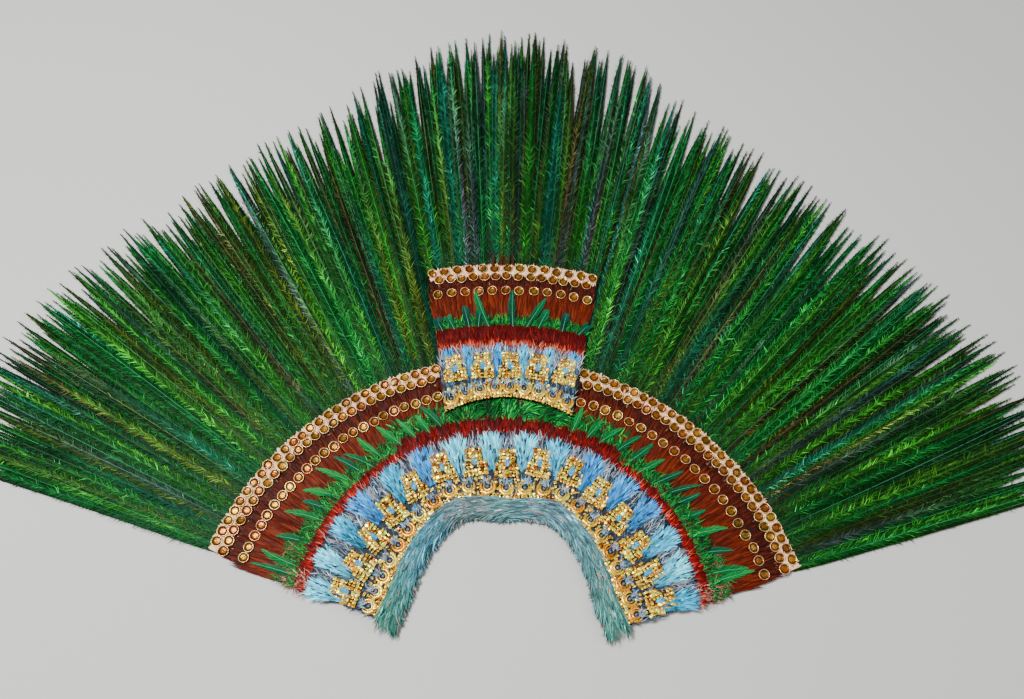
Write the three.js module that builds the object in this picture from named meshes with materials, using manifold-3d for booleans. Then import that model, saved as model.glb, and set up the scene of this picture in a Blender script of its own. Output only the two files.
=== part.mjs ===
// Feathered headdress, lying face up: a fan of long green plumes behind a crescent of
// feather bands and gold ornaments, with a raised tongue over the middle of the crescent.
// Millimetres. +X is to the wearer's left, +Y towards the top plumes and +Z out of the face.
// Everything is laid out in polar form about the centre of the crescent's arcs: a bearing of
// 0 degrees is the axis, and positive bearings turn towards +X.

import * as THREE from "three";
import { mergeVertices } from "three/addons/utils/BufferGeometryUtils.js";
import Module from "manifold-3d";

const wasm = await Module();
wasm.setup();

// Clearances and thicknesses
const GAP = 0.3; // between pieces that lie on or against each other
const SIDE_CLEARANCE = 1.2; // between the tongue's sides and the wings
const BACKING_THICKNESS = 3;
const BAND_THICKNESS = 2; // one layer of feathers on its strip
const GOLD_THICKNESS = 3;
const EDGING_THICKNESS = 1.5;

// The crescent: the line that its two ends are cut on
const WING_END_BEARING = 73; // degrees, at the outer arc
const END_FLARE = 0.0149; // degrees more for each millimetre nearer the centre
const WING_SEGMENTS = 12;
const CRESCENT_SEGMENTS = 24;

// Inner edge of the crescent round the head opening: a flat-topped arch. share is the place
// between the axis and the end, and reach a share of the largest radius.
const OPENING_RADIUS = 231;
const OPENING = [
  { share: 0, reach: 0.965 },
  { share: 0.26, reach: 1 },
  { share: 0.44, reach: 0.93 },
  { share: 0.62, reach: 0.848 },
  { share: 0.83, reach: 0.788 },
  { share: 1, reach: 0.792 },
];

// Feather bands outwards, from the hidden edge where the upper ones are sewn down, which is
// SEWN_WIDTH from the opening's largest radius
const SEWN_WIDTH = { axis: 75, end: 37 };
const BLUE_WIDTH = { axis: 40, end: 43 };
const RED_WIDTH = { axis: 20, end: 27 };
const GREEN_WIDTH = { axis: 10, end: 14 };
const BROWN_WIDTH = 66; // that shows between the green band and the edging, near the axis
const EDGING_WIDTH = 36;

// Tongue: a panel that widens upwards, with straight sides and curved ends
const TONGUE_STEP = 12; // from the green band to the corners of the tongue's foot
const TONGUE_ARCH = 16; // how far the foot rises between its corners
const TONGUE_LENGTH = 270;
const TONGUE_FOOT_HALF_WIDTH = 103;
const TONGUE_TOP_HALF_WIDTH = 148;
const TONGUE_SEWN_WIDTH = 84;
const TONGUE_BLUE_LAP = 24;
const TONGUE_RED_WIDTH = 42;
const TONGUE_GREEN_WIDTH = 10;
const TONGUE_EDGING_WIDTH = 40;
const TONGUE_SEGMENTS = 6;

// Gold discs of the third row
const DISC_RADIUS = 8.6;
const DISC_HEIGHT = 2.4;
const DISC_DISH = 1.3;
const DISC_SIDES = 10;
const DISC_INSET = 22; // from the edging's inner side to the row
const TONGUE_DISC_INSET = 12;
const DISC_COUNT = { left: 23, right: 20, tongue: 12 };

// Stepped gold plaques
const PLAQUE_WIDTH = 35;
const PLAQUE_HEIGHT = 48;
const PLAQUE_STEP = 8.5; // width of each shoulder
const PLAQUE_WINDOW = { width: 9, height: 14 };
const PLAQUE_COUNT = 15;
const PLAQUE_OFFSET = { axis: 68, end: 70 }; // from the opening's edge to the plaque's centre
const TONGUE_PLAQUE_COUNT = 5;
const TONGUE_PLAQUE_INSET = 35;

// Gold half-moons on their row of bricks
const MOON_RADIUS = 11.5;
const MOON_FOOT = 140; // bearing of the point where it meets the bricks
const MOON_STEPS = 3; // of each side's arc
const MOON_BITE = { radius: 6.2, turn: 110, lift: 3.6, steps: 2 };
const MOON_HORN = 32; // bearing of each horn's tip
const MOON_COUNT = 23;
const TONGUE_MOON_COUNT = 9;
const BRICK_WIDTH = 8;

// Strip of feathers wrapped round the edge of the opening
const TRIM_WIDTH = 23;
const TRIM_LAP = 9; // over the blue band
const TRIM_CROWN = 5; // above the blue band
// Section of the trim: across is a share of TRIM_WIDTH inwards from the opening's edge, or of
// TRIM_LAP outwards, and up a share of the height to the crown.
const TRIM_PROFILE = [
  { across: -1, up: 0.88 },
  { across: -0.5, up: 1 },
  { across: 0.5, up: 1 },
  { across: 0.85, up: 0.8 },
  { across: 1, up: 0.5 },
  { across: 0.85, up: 0.12 },
  { across: 0.6, up: 0 },
];
const TRIM_SECTIONS = ["left_leg", "left_bend", "top", "right_bend", "right_leg"];
const TRIM_CUTS = [-1, -7 / 12, -1 / 4, 1 / 4, 7 / 12, 1];

// Green lances of a wing: half is the half-width as a share of the crescent's half, and reach
// the share that the lance fills of the room out to the discs. The other wing mirrors them.
const LANCE_SHOULDER = 0.5; // share of a lance's length where it starts to narrow
const LANCES = [
  { share: 0.242, reach: 1, half: 0.016 },
  { share: 0.297, reach: 0.7, half: 0.013 },
  { share: 0.345, reach: 0.85, half: 0.015 },
  { share: 0.4, reach: 0.95, half: 0.015 },
  { share: 0.475, reach: 0.95, half: 0.016 },
  { share: 0.53, reach: 0.7, half: 0.014 },
  { share: 0.58, reach: 0.85, half: 0.015 },
  { share: 0.632, reach: 1, half: 0.015 },
  { share: 0.68, reach: 0.75, half: 0.014 },
  { share: 0.73, reach: 0.5, half: 0.014 },
  { share: 0.785, reach: 0.8, half: 0.016 },
  { share: 0.85, reach: 0.6, half: 0.015 },
  { share: 0.92, reach: 0.8, half: 0.016 },
  { share: 0.975, reach: 1, half: 0.015 },
];
const TUFTS_UNDER_TONGUE = { count: 7, reach: 0.55, half: 0.018, spread: 0.17 };

// Green lances of the tongue, by the share of its half-width
const TONGUE_LANCES = [
  { share: -0.93, reach: 0.15, half: 0.05 },
  { share: -0.78, reach: 0.2, half: 0.05 },
  { share: -0.6, reach: 0.45, half: 0.055 },
  { share: -0.42, reach: 0.66, half: 0.05 },
  { share: -0.2, reach: 1, half: 0.06 },
  { share: 0.03, reach: 1, half: 0.06 },
  { share: 0.24, reach: 0.85, half: 0.06 },
  { share: 0.42, reach: 0.5, half: 0.05 },
  { share: 0.68, reach: 0.45, half: 0.05 },
  { share: 0.92, reach: 0.2, half: 0.05 },
];

// Tufts of the blue bands, one beside each plaque
const TUFT_HEIGHT = 9; // of the blue tufts, above the band's edge
const TUFT_HALF = 0.2; // share of the plaques' pitch
const TUFT_TAPER = 0.2; // share of the tuft's width that each side leans in by
const PADDING_INSET = 1; // from the edge of the blue band's top layer to its padding

// Plumes: how far the fan's outline reaches at each bearing, as a share of its radius
const FAN_RADIUS = 1205;
const REACH = [
  { bearing: 0, reach: 1 },
  { bearing: 8, reach: 0.973 },
  { bearing: 13, reach: 0.946 },
  { bearing: 16, reach: 0.909 },
  { bearing: 20, reach: 0.88 },
  { bearing: 27, reach: 0.855 },
  { bearing: 36, reach: 0.832 },
  { bearing: 50, reach: 0.828 },
  { bearing: 65, reach: 0.825 },
  { bearing: 74, reach: 0.787 },
];
const RAGGED = [1, 0.94, 0.98, 0.91, 0.96, 0.93]; // tips of neighbouring plumes
const UPPER_REACH = 0.9;
const PLUME_THICKNESS = 2;
const PLUME_ARCH = 8; // how far the upper plumes rise above the lower ones
const PLUME_TIP_HEIGHT = 2.6;
const PLUMES_PER_BUNDLE = 5;
const WING_BUNDLES = 4;
const TONGUE_BUNDLES = 2;
const LAYER_START = { lower: 0.25, upper: 0.75 }; // place in the pitch of each layer's plumes

// Sections of a lower and an upper plume, by the share of its free length. half is its
// half-width as a share of the plumes' pitch. A lower plume sinks to the tips' height, and an
// upper one rises over it. The quill starts inside the strip that holds it, close enough to
// the strip's edge that an upper plume rises clear of the edging.
const QUILL_HALF = 0.2;
const QUILL_START = 0.85;
const LOWER_PLUME = [
  { share: 0.35, half: 0.46, sink: 0.4 },
  { share: 0.8, half: 0.38, sink: 0.85 },
  { share: 1, half: 0, sink: 1 },
];
const UPPER_PLUME = [
  { share: 0.45, half: 0.46, rise: 1 },
  { share: 0.8, half: 0.38, rise: 0.7 },
  { share: 1, half: 0, rise: 0.3 },
];

// Heights of the layers, each on the one below
const layerAbove = (height, thickness) => height + thickness + GAP;
const BROWN_Z = layerAbove(0, BACKING_THICKNESS);
const GREEN_Z = layerAbove(BROWN_Z, BAND_THICKNESS);
const RED_Z = layerAbove(GREEN_Z, BAND_THICKNESS);
const BLUE_Z = layerAbove(RED_Z, BAND_THICKNESS);
const GOLD_Z = layerAbove(BLUE_Z, BAND_THICKNESS);
const TONGUE_RISE = BACKING_THICKNESS + GAP; // every layer of the tongue is this much higher

const materials = {
  fibre: new THREE.MeshStandardMaterial({ color: 0x8a6a4a, roughness: 0.9 }),
  hide: new THREE.MeshStandardMaterial({ color: 0xe2b394, roughness: 0.8 }),
  plume: new THREE.MeshStandardMaterial({ color: 0x0d5a2c, roughness: 0.5 }),
  brown: new THREE.MeshStandardMaterial({ color: 0x6b1d0c, roughness: 0.7 }),
  green: new THREE.MeshStandardMaterial({ color: 0x12803f, roughness: 0.5 }),
  red: new THREE.MeshStandardMaterial({ color: 0x8e0d0a, roughness: 0.7 }),
  blue: new THREE.MeshStandardMaterial({ color: 0x4fb0cf, roughness: 0.6 }),
  trim: new THREE.MeshStandardMaterial({ color: 0x4d9ea0, roughness: 0.7 }),
  gold: new THREE.MeshStandardMaterial({ color: 0xe0ab4e, roughness: 0.3, metalness: 1 }),
};

// Polar layout

const FULL_TURN = 360;
const degrees = THREE.MathUtils.radToDeg;
const radians = THREE.MathUtils.degToRad;
const lerp = THREE.MathUtils.lerp;

function polar(radius, bearing) {
  const turn = radians(bearing);
  return new THREE.Vector2(radius * Math.sin(turn), radius * Math.cos(turn));
}

const steps = (count, from, to) =>
  Array.from({ length: count + 1 }, (_, i) => lerp(from, to, i / count));

// A size that changes from the axis to the two ends of the crescent.
const sizeAt = (size, share) => lerp(size.axis, size.end, share * share);

const sewnEdge = (share) => OPENING_RADIUS + sizeAt(SEWN_WIDTH, share);
const blueEdge = (share) => sewnEdge(share) + sizeAt(BLUE_WIDTH, share);
const redEdge = (share) => blueEdge(share) + sizeAt(RED_WIDTH, share);
const greenEdge = (share) => redEdge(share) + sizeAt(GREEN_WIDTH, share);

// The opening's edge: a smooth curve through the rows of its table.
function openingEdge(share) {
  const beyondAxis = { ...OPENING[1], share: -OPENING[1].share };
  const beyondEnd = { ...OPENING.at(-1), share: 2 - OPENING.at(-2).share };
  const rows = [beyondAxis, ...OPENING, beyondEnd];
  const s = Math.abs(share);
  const i = Math.min(Math.max(1, rows.findLastIndex((row) => row.share <= s)), rows.length - 3);
  const t = (s - rows[i].share) / (rows[i + 1].share - rows[i].share);
  const slope = (a, b) => (b.reach - a.reach) / (b.share - a.share);
  const span = rows[i + 1].share - rows[i].share;
  const before = slope(rows[i - 1], rows[i + 1]) * span;
  const after = slope(rows[i], rows[i + 2]) * span;
  const [p, q] = [rows[i].reach, rows[i + 1].reach];
  const reach =
    p * (2 * t ** 3 - 3 * t ** 2 + 1) +
    before * (t ** 3 - 2 * t ** 2 + t) +
    q * (3 * t ** 2 - 2 * t ** 3) +
    after * (t ** 3 - t ** 2);
  return OPENING_RADIUS * reach;
}

const WING_BROWN = greenEdge(0) + BROWN_WIDTH;
const WING_RADIUS = WING_BROWN + EDGING_WIDTH;
const endBearing = (radius) => WING_END_BEARING + (WING_RADIUS - radius) * END_FLARE;

// A point of the whole crescent: share -1 is one end, 0 the axis and 1 the other end.
function onCrescent(edge, share, offset = 0) {
  return polar(edge(share) + offset, share * endBearing(edge(1) + offset));
}

const TONGUE_FOOT = greenEdge(0) + TONGUE_STEP;
const TONGUE_TOP = TONGUE_FOOT + TONGUE_LENGTH;
const TONGUE_SEWN = TONGUE_FOOT + TONGUE_SEWN_WIDTH;
const TONGUE_BLUE = TONGUE_SEWN + TONGUE_BLUE_LAP;
const TONGUE_RED = TONGUE_BLUE + TONGUE_RED_WIDTH;
const TONGUE_GREEN = TONGUE_RED + TONGUE_GREEN_WIDTH;
const TONGUE_BROWN = TONGUE_TOP - TONGUE_EDGING_WIDTH;

// Bearing of the tongue's side at a radius: the sides are straight.
function tongueSide(radius) {
  const share = (radius - TONGUE_FOOT) / TONGUE_LENGTH;
  return degrees(Math.asin(lerp(TONGUE_FOOT_HALF_WIDTH, TONGUE_TOP_HALF_WIDTH, share) / radius));
}

const onTongue = (radius, share) => polar(radius, share * tongueSide(radius));

// A point above the tongue's foot, which is an arch between its two corners.
const onTongueFoot = (share, offset = 0) =>
  onTongue(TONGUE_FOOT + TONGUE_ARCH * (1 - share * share) + offset, share);

// A point of a wing: share 0 is beside the tongue and 1 the end. side is -1 or 1.
function wingBearing(radius, share) {
  const start = tongueSide(radius) + degrees(SIDE_CLEARANCE / radius);
  return lerp(start, endBearing(radius), share);
}

const onWing = (side, radius, share) => polar(radius, side * wingBearing(radius, share));

// Solids

// A flat layer between an inner and an outer line, each a list of points in the plan.
function layer(inner, outer, z, thickness) {
  const shape = new THREE.Shape([...inner, ...[...outer].reverse()]);
  const geometry = new THREE.ExtrudeGeometry(shape, { depth: thickness, bevelEnabled: false });
  return geometry.translate(0, 0, z);
}

// A closed skin over rings of points with equal counts. A last ring of one point is a tip.
function loft(rings, capFaces) {
  const points = rings.flat();
  const count = rings[0].length;
  const index = capFaces.flatMap(([a, b, c]) => [a, c, b]);
  for (let r = 0; r + 1 < rings.length; r++) {
    for (let i = 0; i < count; i++) {
      const [a, b] = [r * count + i, r * count + ((i + 1) % count)];
      if (rings[r + 1].length === 1) index.push(a, b, (r + 1) * count);
      else index.push(a, b, b + count, a, b + count, a + count);
    }
  }
  if (rings.at(-1).length > 1) {
    const base = (rings.length - 1) * count;
    index.push(...capFaces.flat().map((i) => i + base));
  }
  return new THREE.BufferGeometry().setFromPoints(points).setIndex(index);
}

function solid(geometry) {
  const bare = new THREE.BufferGeometry().setAttribute("position", geometry.getAttribute("position"));
  bare.setIndex(geometry.index);
  const merged = mergeVertices(bare, 1e-3);
  return new wasm.Manifold(
    new wasm.Mesh({
      numProp: 3,
      vertProperties: merged.attributes.position.array,
      triVerts: new Uint32Array(merged.index.array),
    }),
  );
}

function fuse(geometries) {
  const joined = geometries.map(solid).reduce((all, one) => all.add(one)).getMesh();
  return new THREE.BufferGeometry()
    .setAttribute("position", new THREE.BufferAttribute(joined.vertProperties, 3))
    .setIndex(new THREE.BufferAttribute(joined.triVerts, 1));
}

const headdress = new THREE.Group();

function piece(name, material, geometry) {
  const mesh = new THREE.Mesh(geometry, materials[material]);
  mesh.name = name;
  headdress.add(mesh);
  return mesh;
}

const SIDES = [
  { name: "left", side: -1 },
  { name: "right", side: 1 },
];

// Backings: the crescent's, which the whole headdress lies on, and the tongue's over it.
function backings() {
  const shares = steps(CRESCENT_SEGMENTS, -1, 1);
  const inner = shares.map((s) => onCrescent(openingEdge, s));
  const outer = shares.map((s) => onCrescent(() => WING_RADIUS, s));
  piece("backing_main", "fibre", layer(inner, outer, 0, BACKING_THICKNESS));

  const across = steps(TONGUE_SEGMENTS, -1, 1);
  const foot = across.map((s) => onTongueFoot(s));
  const top = across.map((s) => onTongue(TONGUE_TOP, s));
  piece("backing_tongue", "fibre", layer(foot, top, TONGUE_RISE, BACKING_THICKNESS));
}

// Brown bands of the wings and the tongue, out to the plume roots.
function brownBands() {
  for (const { name, side } of SIDES) {
    const inner = steps(WING_SEGMENTS, 0, 1).map((t) => onWing(side, sewnEdge(0) + GAP, t));
    const outer = steps(WING_SEGMENTS, 0, 1).map((t) => onWing(side, WING_BROWN, t));
    piece(`brown_band_${name}`, "brown", layer(inner, outer, BROWN_Z, BAND_THICKNESS));
  }
  const across = steps(TONGUE_SEGMENTS, -1, 1);
  const inner = across.map((s) => onTongue(TONGUE_SEWN + GAP, s));
  const outer = across.map((s) => onTongue(TONGUE_BROWN, s));
  piece("brown_band_tongue", "brown", layer(inner, outer, BROWN_Z + TONGUE_RISE, BAND_THICKNESS));
}

// Pale strips over the plume roots, along the outer edges.
function edgings() {
  for (const { name, side } of SIDES) {
    const inner = steps(WING_SEGMENTS, 0, 1).map((t) => onWing(side, WING_BROWN + GAP, t));
    const outer = steps(WING_SEGMENTS, 0, 1).map((t) => onWing(side, WING_RADIUS, t));
    piece(`edging_${name}`, "hide", layer(inner, outer, GREEN_Z, EDGING_THICKNESS));
  }
  const across = steps(TONGUE_SEGMENTS, -1, 1);
  const inner = across.map((s) => onTongue(TONGUE_BROWN + GAP, s));
  const outer = across.map((s) => onTongue(TONGUE_TOP, s));
  piece("edging_tongue", "hide", layer(inner, outer, GREEN_Z + TONGUE_RISE, EDGING_THICKNESS));
}

// A row of dished discs, each with a flat side towards the next one and a short link to it.
function discRow(name, centres, z) {
  const points = [];
  const index = [];
  const stride = 2 * DISC_SIDES + 2;
  const half = DISC_SIDES / 2;
  centres.forEach((centre, i) => {
    const [before, after] = [centres[Math.max(i - 1, 0)], centres[Math.min(i + 1, centres.length - 1)]];
    const along = new THREE.Vector2().subVectors(after, before).angle();
    for (const height of [z, z + DISC_HEIGHT]) {
      for (let k = 0; k < DISC_SIDES; k++) {
        const turn = along + ((k - 0.5) / DISC_SIDES) * 2 * Math.PI;
        const x = centre.x + DISC_RADIUS * Math.cos(turn);
        const y = centre.y + DISC_RADIUS * Math.sin(turn);
        points.push(new THREE.Vector3(x, y, height));
      }
    }
    points.push(new THREE.Vector3(centre.x, centre.y, z));
    points.push(new THREE.Vector3(centre.x, centre.y, z + DISC_HEIGHT - DISC_DISH));
    const first = i * stride;
    for (let k = 0; k < DISC_SIDES; k++) {
      const [low, nextLow] = [first + k, first + ((k + 1) % DISC_SIDES)];
      const [top, nextTop] = [low + DISC_SIDES, nextLow + DISC_SIDES];
      index.push(nextLow, low, first + 2 * DISC_SIDES, top, nextTop, first + 2 * DISC_SIDES + 1);
      const linked = (k === 0 && i + 1 < centres.length) || (k === half && i > 0);
      if (!linked) index.push(low, nextLow, nextTop, low, nextTop, top);
    }
    if (i + 1 < centres.length) {
      const here = [first, first + 1, first + 1 + DISC_SIDES, first + DISC_SIDES];
      const there = [half + 1, half, half + DISC_SIDES, half + 1 + DISC_SIDES];
      here.forEach((a, k) => {
        const b = here[(k + 1) % here.length];
        const [c, d] = [there[(k + 1) % there.length], there[k]].map((v) => v + first + stride);
        index.push(a, b, c, a, c, d);
      });
    }
  });
  piece(name, "gold", new THREE.BufferGeometry().setFromPoints(points).setIndex(index));
}

function discRows() {
  const margin = DISC_RADIUS + SIDE_CLEARANCE;
  const radius = WING_BROWN - DISC_INSET;
  for (const { name, side } of SIDES) {
    const room = margin / (radius * radians(wingBearing(radius, 1) - wingBearing(radius, 0)));
    const along = steps(DISC_COUNT[name] - 1, room, 1 - room);
    discRow(`disc_row_${name}`, along.map((t) => onWing(side, radius, t)), GREEN_Z);
  }
  const tongueRadius = TONGUE_BROWN - TONGUE_DISC_INSET;
  const room = margin / (tongueRadius * radians(tongueSide(tongueRadius)));
  const across = steps(DISC_COUNT.tongue - 1, room - 1, 1 - room);
  discRow("disc_row_tongue", across.map((s) => onTongue(tongueRadius, s)), GREEN_Z + TONGUE_RISE);
}

function lanceLine(share, half, point, reach) {
  return [
    point(share - half, 0),
    point(share - half, reach * LANCE_SHOULDER),
    point(share, reach),
    point(share + half, reach * LANCE_SHOULDER),
    point(share + half, 0),
  ];
}

function greenBands() {
  const room = WING_BROWN - DISC_INSET - DISC_RADIUS - GAP;
  const wingPoint = (s, reach) => onCrescent((q) => lerp(greenEdge(q), room, reach), s);
  const footPoint = (s, reach) => onCrescent(greenEdge, s, reach * TONGUE_STEP);
  const wing = LANCES.flatMap((l) => lanceLine(l.share, l.half, wingPoint, l.reach));
  const mirrored = [...wing].reverse().map((p) => new THREE.Vector2(-p.x, p.y));
  const { count, reach, half, spread } = TUFTS_UNDER_TONGUE;
  const tufts = steps(count - 1, -spread, spread).flatMap((s) => lanceLine(s, half, footPoint, reach));
  const ends = [onCrescent(greenEdge, -1), onCrescent(greenEdge, 1)];
  const inner = steps(CRESCENT_SEGMENTS, -1, 1).map((s) => onCrescent(sewnEdge, s, GAP));
  const outer = [ends[0], ...mirrored, ...tufts, ...wing, ends[1]];
  piece("green_band", "green", layer(inner, outer, GREEN_Z, BAND_THICKNESS));
}

function tongueGreenBand() {
  const room = TONGUE_BROWN - TONGUE_DISC_INSET - DISC_RADIUS - GAP;
  const point = (s, reach) => onTongue(lerp(TONGUE_GREEN, room, reach), s);
  const lances = TONGUE_LANCES.flatMap((l) => lanceLine(l.share, l.half, point, l.reach));
  const inner = steps(TONGUE_SEGMENTS, -1, 1).map((s) => onTongue(TONGUE_SEWN + GAP, s));
  const outer = [onTongue(TONGUE_GREEN, -1), ...lances, onTongue(TONGUE_GREEN, 1)];
  piece("green_band_tongue", "green", layer(inner, outer, GREEN_Z + TONGUE_RISE, BAND_THICKNESS));
}

// Red bands, between the green and the blue.
function redBands() {
  const shares = steps(CRESCENT_SEGMENTS, -1, 1);
  const inner = shares.map((s) => onCrescent(sewnEdge, s, GAP));
  const outer = shares.map((s) => onCrescent(redEdge, s));
  piece("red_band", "red", layer(inner, outer, RED_Z, BAND_THICKNESS));

  const across = steps(TONGUE_SEGMENTS, -1, 1);
  const foot = across.map((s) => onTongue(TONGUE_SEWN + GAP, s));
  const top = across.map((s) => onTongue(TONGUE_RED, s));
  piece("red_band_tongue", "red", layer(foot, top, RED_Z + TONGUE_RISE, BAND_THICKNESS));
}

// Blue bands: a padded body up to the sewn edge, and over it a layer that laps the red band
// and ends in a tuft beside each plaque.
function tuftLine(count, point) {
  const pitch = 2 / count;
  return steps(count, -1, 1).flatMap((s) => {
    const from = Math.max(-1, s - TUFT_HALF * pitch);
    const to = Math.min(1, s + TUFT_HALF * pitch);
    const crown = [TUFT_TAPER, 1 - TUFT_TAPER].map((t) => point(lerp(from, to, t), 1));
    return [point(from, 0), ...crown, point(to, 0)];
  });
}

function blueBands() {
  const shares = steps(CRESCENT_SEGMENTS, -1, 1);
  const edge = shares.map((s) => onCrescent(openingEdge, s));
  const padInner = shares.map((s) => onCrescent(openingEdge, s, PADDING_INSET));
  const padOuter = shares.map((s) => onCrescent(sewnEdge, s, -GAP));
  const tufts = tuftLine(PLAQUE_COUNT, (s, t) => onCrescent(blueEdge, s, t * TUFT_HEIGHT));
  const padHeight = BLUE_Z + BAND_THICKNESS / 2 - BROWN_Z;
  piece(
    "blue_band",
    "blue",
    fuse([
      layer(padInner, padOuter, BROWN_Z, padHeight),
      layer(edge, tufts, BLUE_Z, BAND_THICKNESS),
    ]),
  );

  const across = steps(TONGUE_SEGMENTS, -1, 1);
  const foot = across.map((s) => onTongueFoot(s));
  const tonguePadInner = across.map((s) => onTongueFoot(s, PADDING_INSET));
  const tonguePadOuter = across.map((s) => onTongue(TONGUE_SEWN - GAP, s));
  const tongueTufts = tuftLine(TONGUE_PLAQUE_COUNT, (s, t) => onTongue(TONGUE_BLUE + t * TUFT_HEIGHT, s));
  piece(
    "blue_band_tongue",
    "blue",
    fuse([
      layer(tonguePadInner, tonguePadOuter, BROWN_Z + TONGUE_RISE, padHeight),
      layer(foot, tongueTufts, BLUE_Z + TONGUE_RISE, BAND_THICKNESS),
    ]),
  );
}

// A stepped plaque round a window, standing on z = 0 with its foot towards the centre.
function plaque() {
  const [w, h] = [PLAQUE_WIDTH / 2, PLAQUE_HEIGHT / 2];
  const shoulder = w - PLAQUE_STEP;
  const head = h - PLAQUE_STEP;
  const shape = new THREE.Shape([
    new THREE.Vector2(-w, -h),
    new THREE.Vector2(w, -h),
    new THREE.Vector2(w, 0),
    new THREE.Vector2(shoulder + PLAQUE_STEP / 2, 0),
    new THREE.Vector2(shoulder + PLAQUE_STEP / 2, head),
    new THREE.Vector2(shoulder, head),
    new THREE.Vector2(shoulder, h),
    new THREE.Vector2(-shoulder, h),
    new THREE.Vector2(-shoulder, head),
    new THREE.Vector2(-shoulder - PLAQUE_STEP / 2, head),
    new THREE.Vector2(-shoulder - PLAQUE_STEP / 2, 0),
    new THREE.Vector2(-w, 0),
  ]);
  const [a, b] = [PLAQUE_WINDOW.width / 2, PLAQUE_WINDOW.height / 2];
  shape.holes.push(
    new THREE.Path([
      new THREE.Vector2(-a, -b),
      new THREE.Vector2(-a, b),
      new THREE.Vector2(a, b),
      new THREE.Vector2(a, -b),
    ]),
  );
  return new THREE.ExtrudeGeometry(shape, { depth: GOLD_THICKNESS, bevelEnabled: false });
}

function placeFacingOut(mesh, centre, z) {
  mesh.position.set(centre.x, centre.y, z);
  mesh.rotation.z = -Math.atan2(centre.x, centre.y);
}

function plaques() {
  for (let i = 0; i < PLAQUE_COUNT; i++) {
    const share = ((i + 0.5) / PLAQUE_COUNT) * 2 - 1;
    const mesh = piece(`plaque_${String(i + 1).padStart(2, "0")}`, "gold", plaque());
    const centre = onCrescent(openingEdge, share, sizeAt(PLAQUE_OFFSET, share));
    placeFacingOut(mesh, centre, GOLD_Z);
  }
  for (let i = 0; i < TONGUE_PLAQUE_COUNT; i++) {
    const share = ((i + 0.5) / TONGUE_PLAQUE_COUNT) * 2 - 1;
    const mesh = piece(`tongue_plaque_${i + 1}`, "gold", plaque());
    placeFacingOut(mesh, onTongue(TONGUE_BLUE - TONGUE_PLAQUE_INSET, share), GOLD_Z + TONGUE_RISE);
  }
}

// Outline of a half-moon that stands on the bricks, from its left foot to its right one.
// Its horns point away from the centre of the crescent.
function moonLine(centre) {
  const arc = (radius, from, to, lift, count) =>
    steps(count, from, to).map((bearing) => polar(radius, bearing).add(new THREE.Vector2(0, lift)));
  const bite = arc(MOON_BITE.radius, -MOON_BITE.turn, MOON_BITE.turn - FULL_TURN, MOON_BITE.lift, MOON_BITE.steps);
  const line = [
    ...arc(MOON_RADIUS, -MOON_FOOT, -MOON_HORN, 0, MOON_STEPS),
    ...bite,
    ...arc(MOON_RADIUS, MOON_HORN, MOON_FOOT, 0, MOON_STEPS),
  ];
  const facing = -Math.atan2(centre.x, centre.y);
  return line.map((p) => p.rotateAround(new THREE.Vector2(0, 0), facing).add(centre));
}

// The row of bricks, and the half-moons that stand on it, in one piece.
function moonRow(name, count, segments, z, pointAt) {
  const offset = BRICK_WIDTH + MOON_RADIUS * Math.cos(radians(180 - MOON_FOOT)) - GAP;
  const moons = Array.from({ length: count }, (_, i) =>
    moonLine(pointAt(((i + 0.5) / count) * 2 - 1, offset)),
  );
  const inner = steps(segments, -1, 1).map((s) => pointAt(s, 0));
  const outer = [pointAt(-1, BRICK_WIDTH), ...moons.flat(), pointAt(1, BRICK_WIDTH)];
  piece(name, "gold", layer(inner, outer, z, GOLD_THICKNESS));
}

function crescentRows() {
  const start = TRIM_LAP + 2 * GAP;
  moonRow("crescent_row", MOON_COUNT, CRESCENT_SEGMENTS, GOLD_Z, (share, offset) =>
    onCrescent(openingEdge, share, start + offset),
  );
  const tongueZ = GOLD_Z + TONGUE_RISE;
  moonRow("crescent_row_tongue", TONGUE_MOON_COUNT, TONGUE_SEGMENTS, tongueZ, onTongueFoot);
}

// Feather strip round the opening, wrapped over the edge of the backing and the blue band.
function trimProfile() {
  const crown = GOLD_Z + TRIM_CROWN;
  const curve = TRIM_PROFILE.map(({ across, up }) => ({
    inset: across * (across < 0 ? TRIM_LAP : TRIM_WIDTH),
    z: up * crown,
  }));
  return [{ inset: GAP, z: 0 }, { inset: GAP, z: GOLD_Z }, { inset: -TRIM_LAP, z: GOLD_Z }, ...curve];
}

function trim() {
  const profile = trimProfile();
  const flat = profile.map((p) => new THREE.Vector2(-p.inset, p.z));
  const caps = THREE.ShapeUtils.triangulateShape(flat, []);
  TRIM_SECTIONS.forEach((name, k) => {
    const count = Math.round((TRIM_CUTS[k + 1] - TRIM_CUTS[k]) * (CRESCENT_SEGMENTS / 2));
    const clearance = GAP / (OPENING_RADIUS * radians(WING_END_BEARING));
    const from = TRIM_CUTS[k] + (k > 0 ? clearance : 0);
    const to = TRIM_CUTS[k + 1] - (k + 1 < TRIM_SECTIONS.length ? clearance : 0);
    const shares = steps(count, TRIM_CUTS[k], TRIM_CUTS[k + 1]);
    [shares[0], shares[count]] = [from, to];
    const rings = shares.map((share) =>
      profile.map(({ inset, z }) => {
        const p = onCrescent(openingEdge, share, -inset);
        return new THREE.Vector3(p.x, p.y, z);
      }),
    );
    piece(`trim_${name}`, "trim", loft(rings, caps));
  });
}

// Plumes

function reachAt(bearing) {
  const b = Math.abs(bearing);
  const i = Math.max(1, REACH.findIndex((row) => row.bearing >= b));
  const [low, high] = [REACH[i - 1], REACH[i]];
  const reach = lerp(low.reach, high.reach, (b - low.bearing) / (high.bearing - low.bearing));
  return FAN_RADIUS * reach;
}

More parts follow.
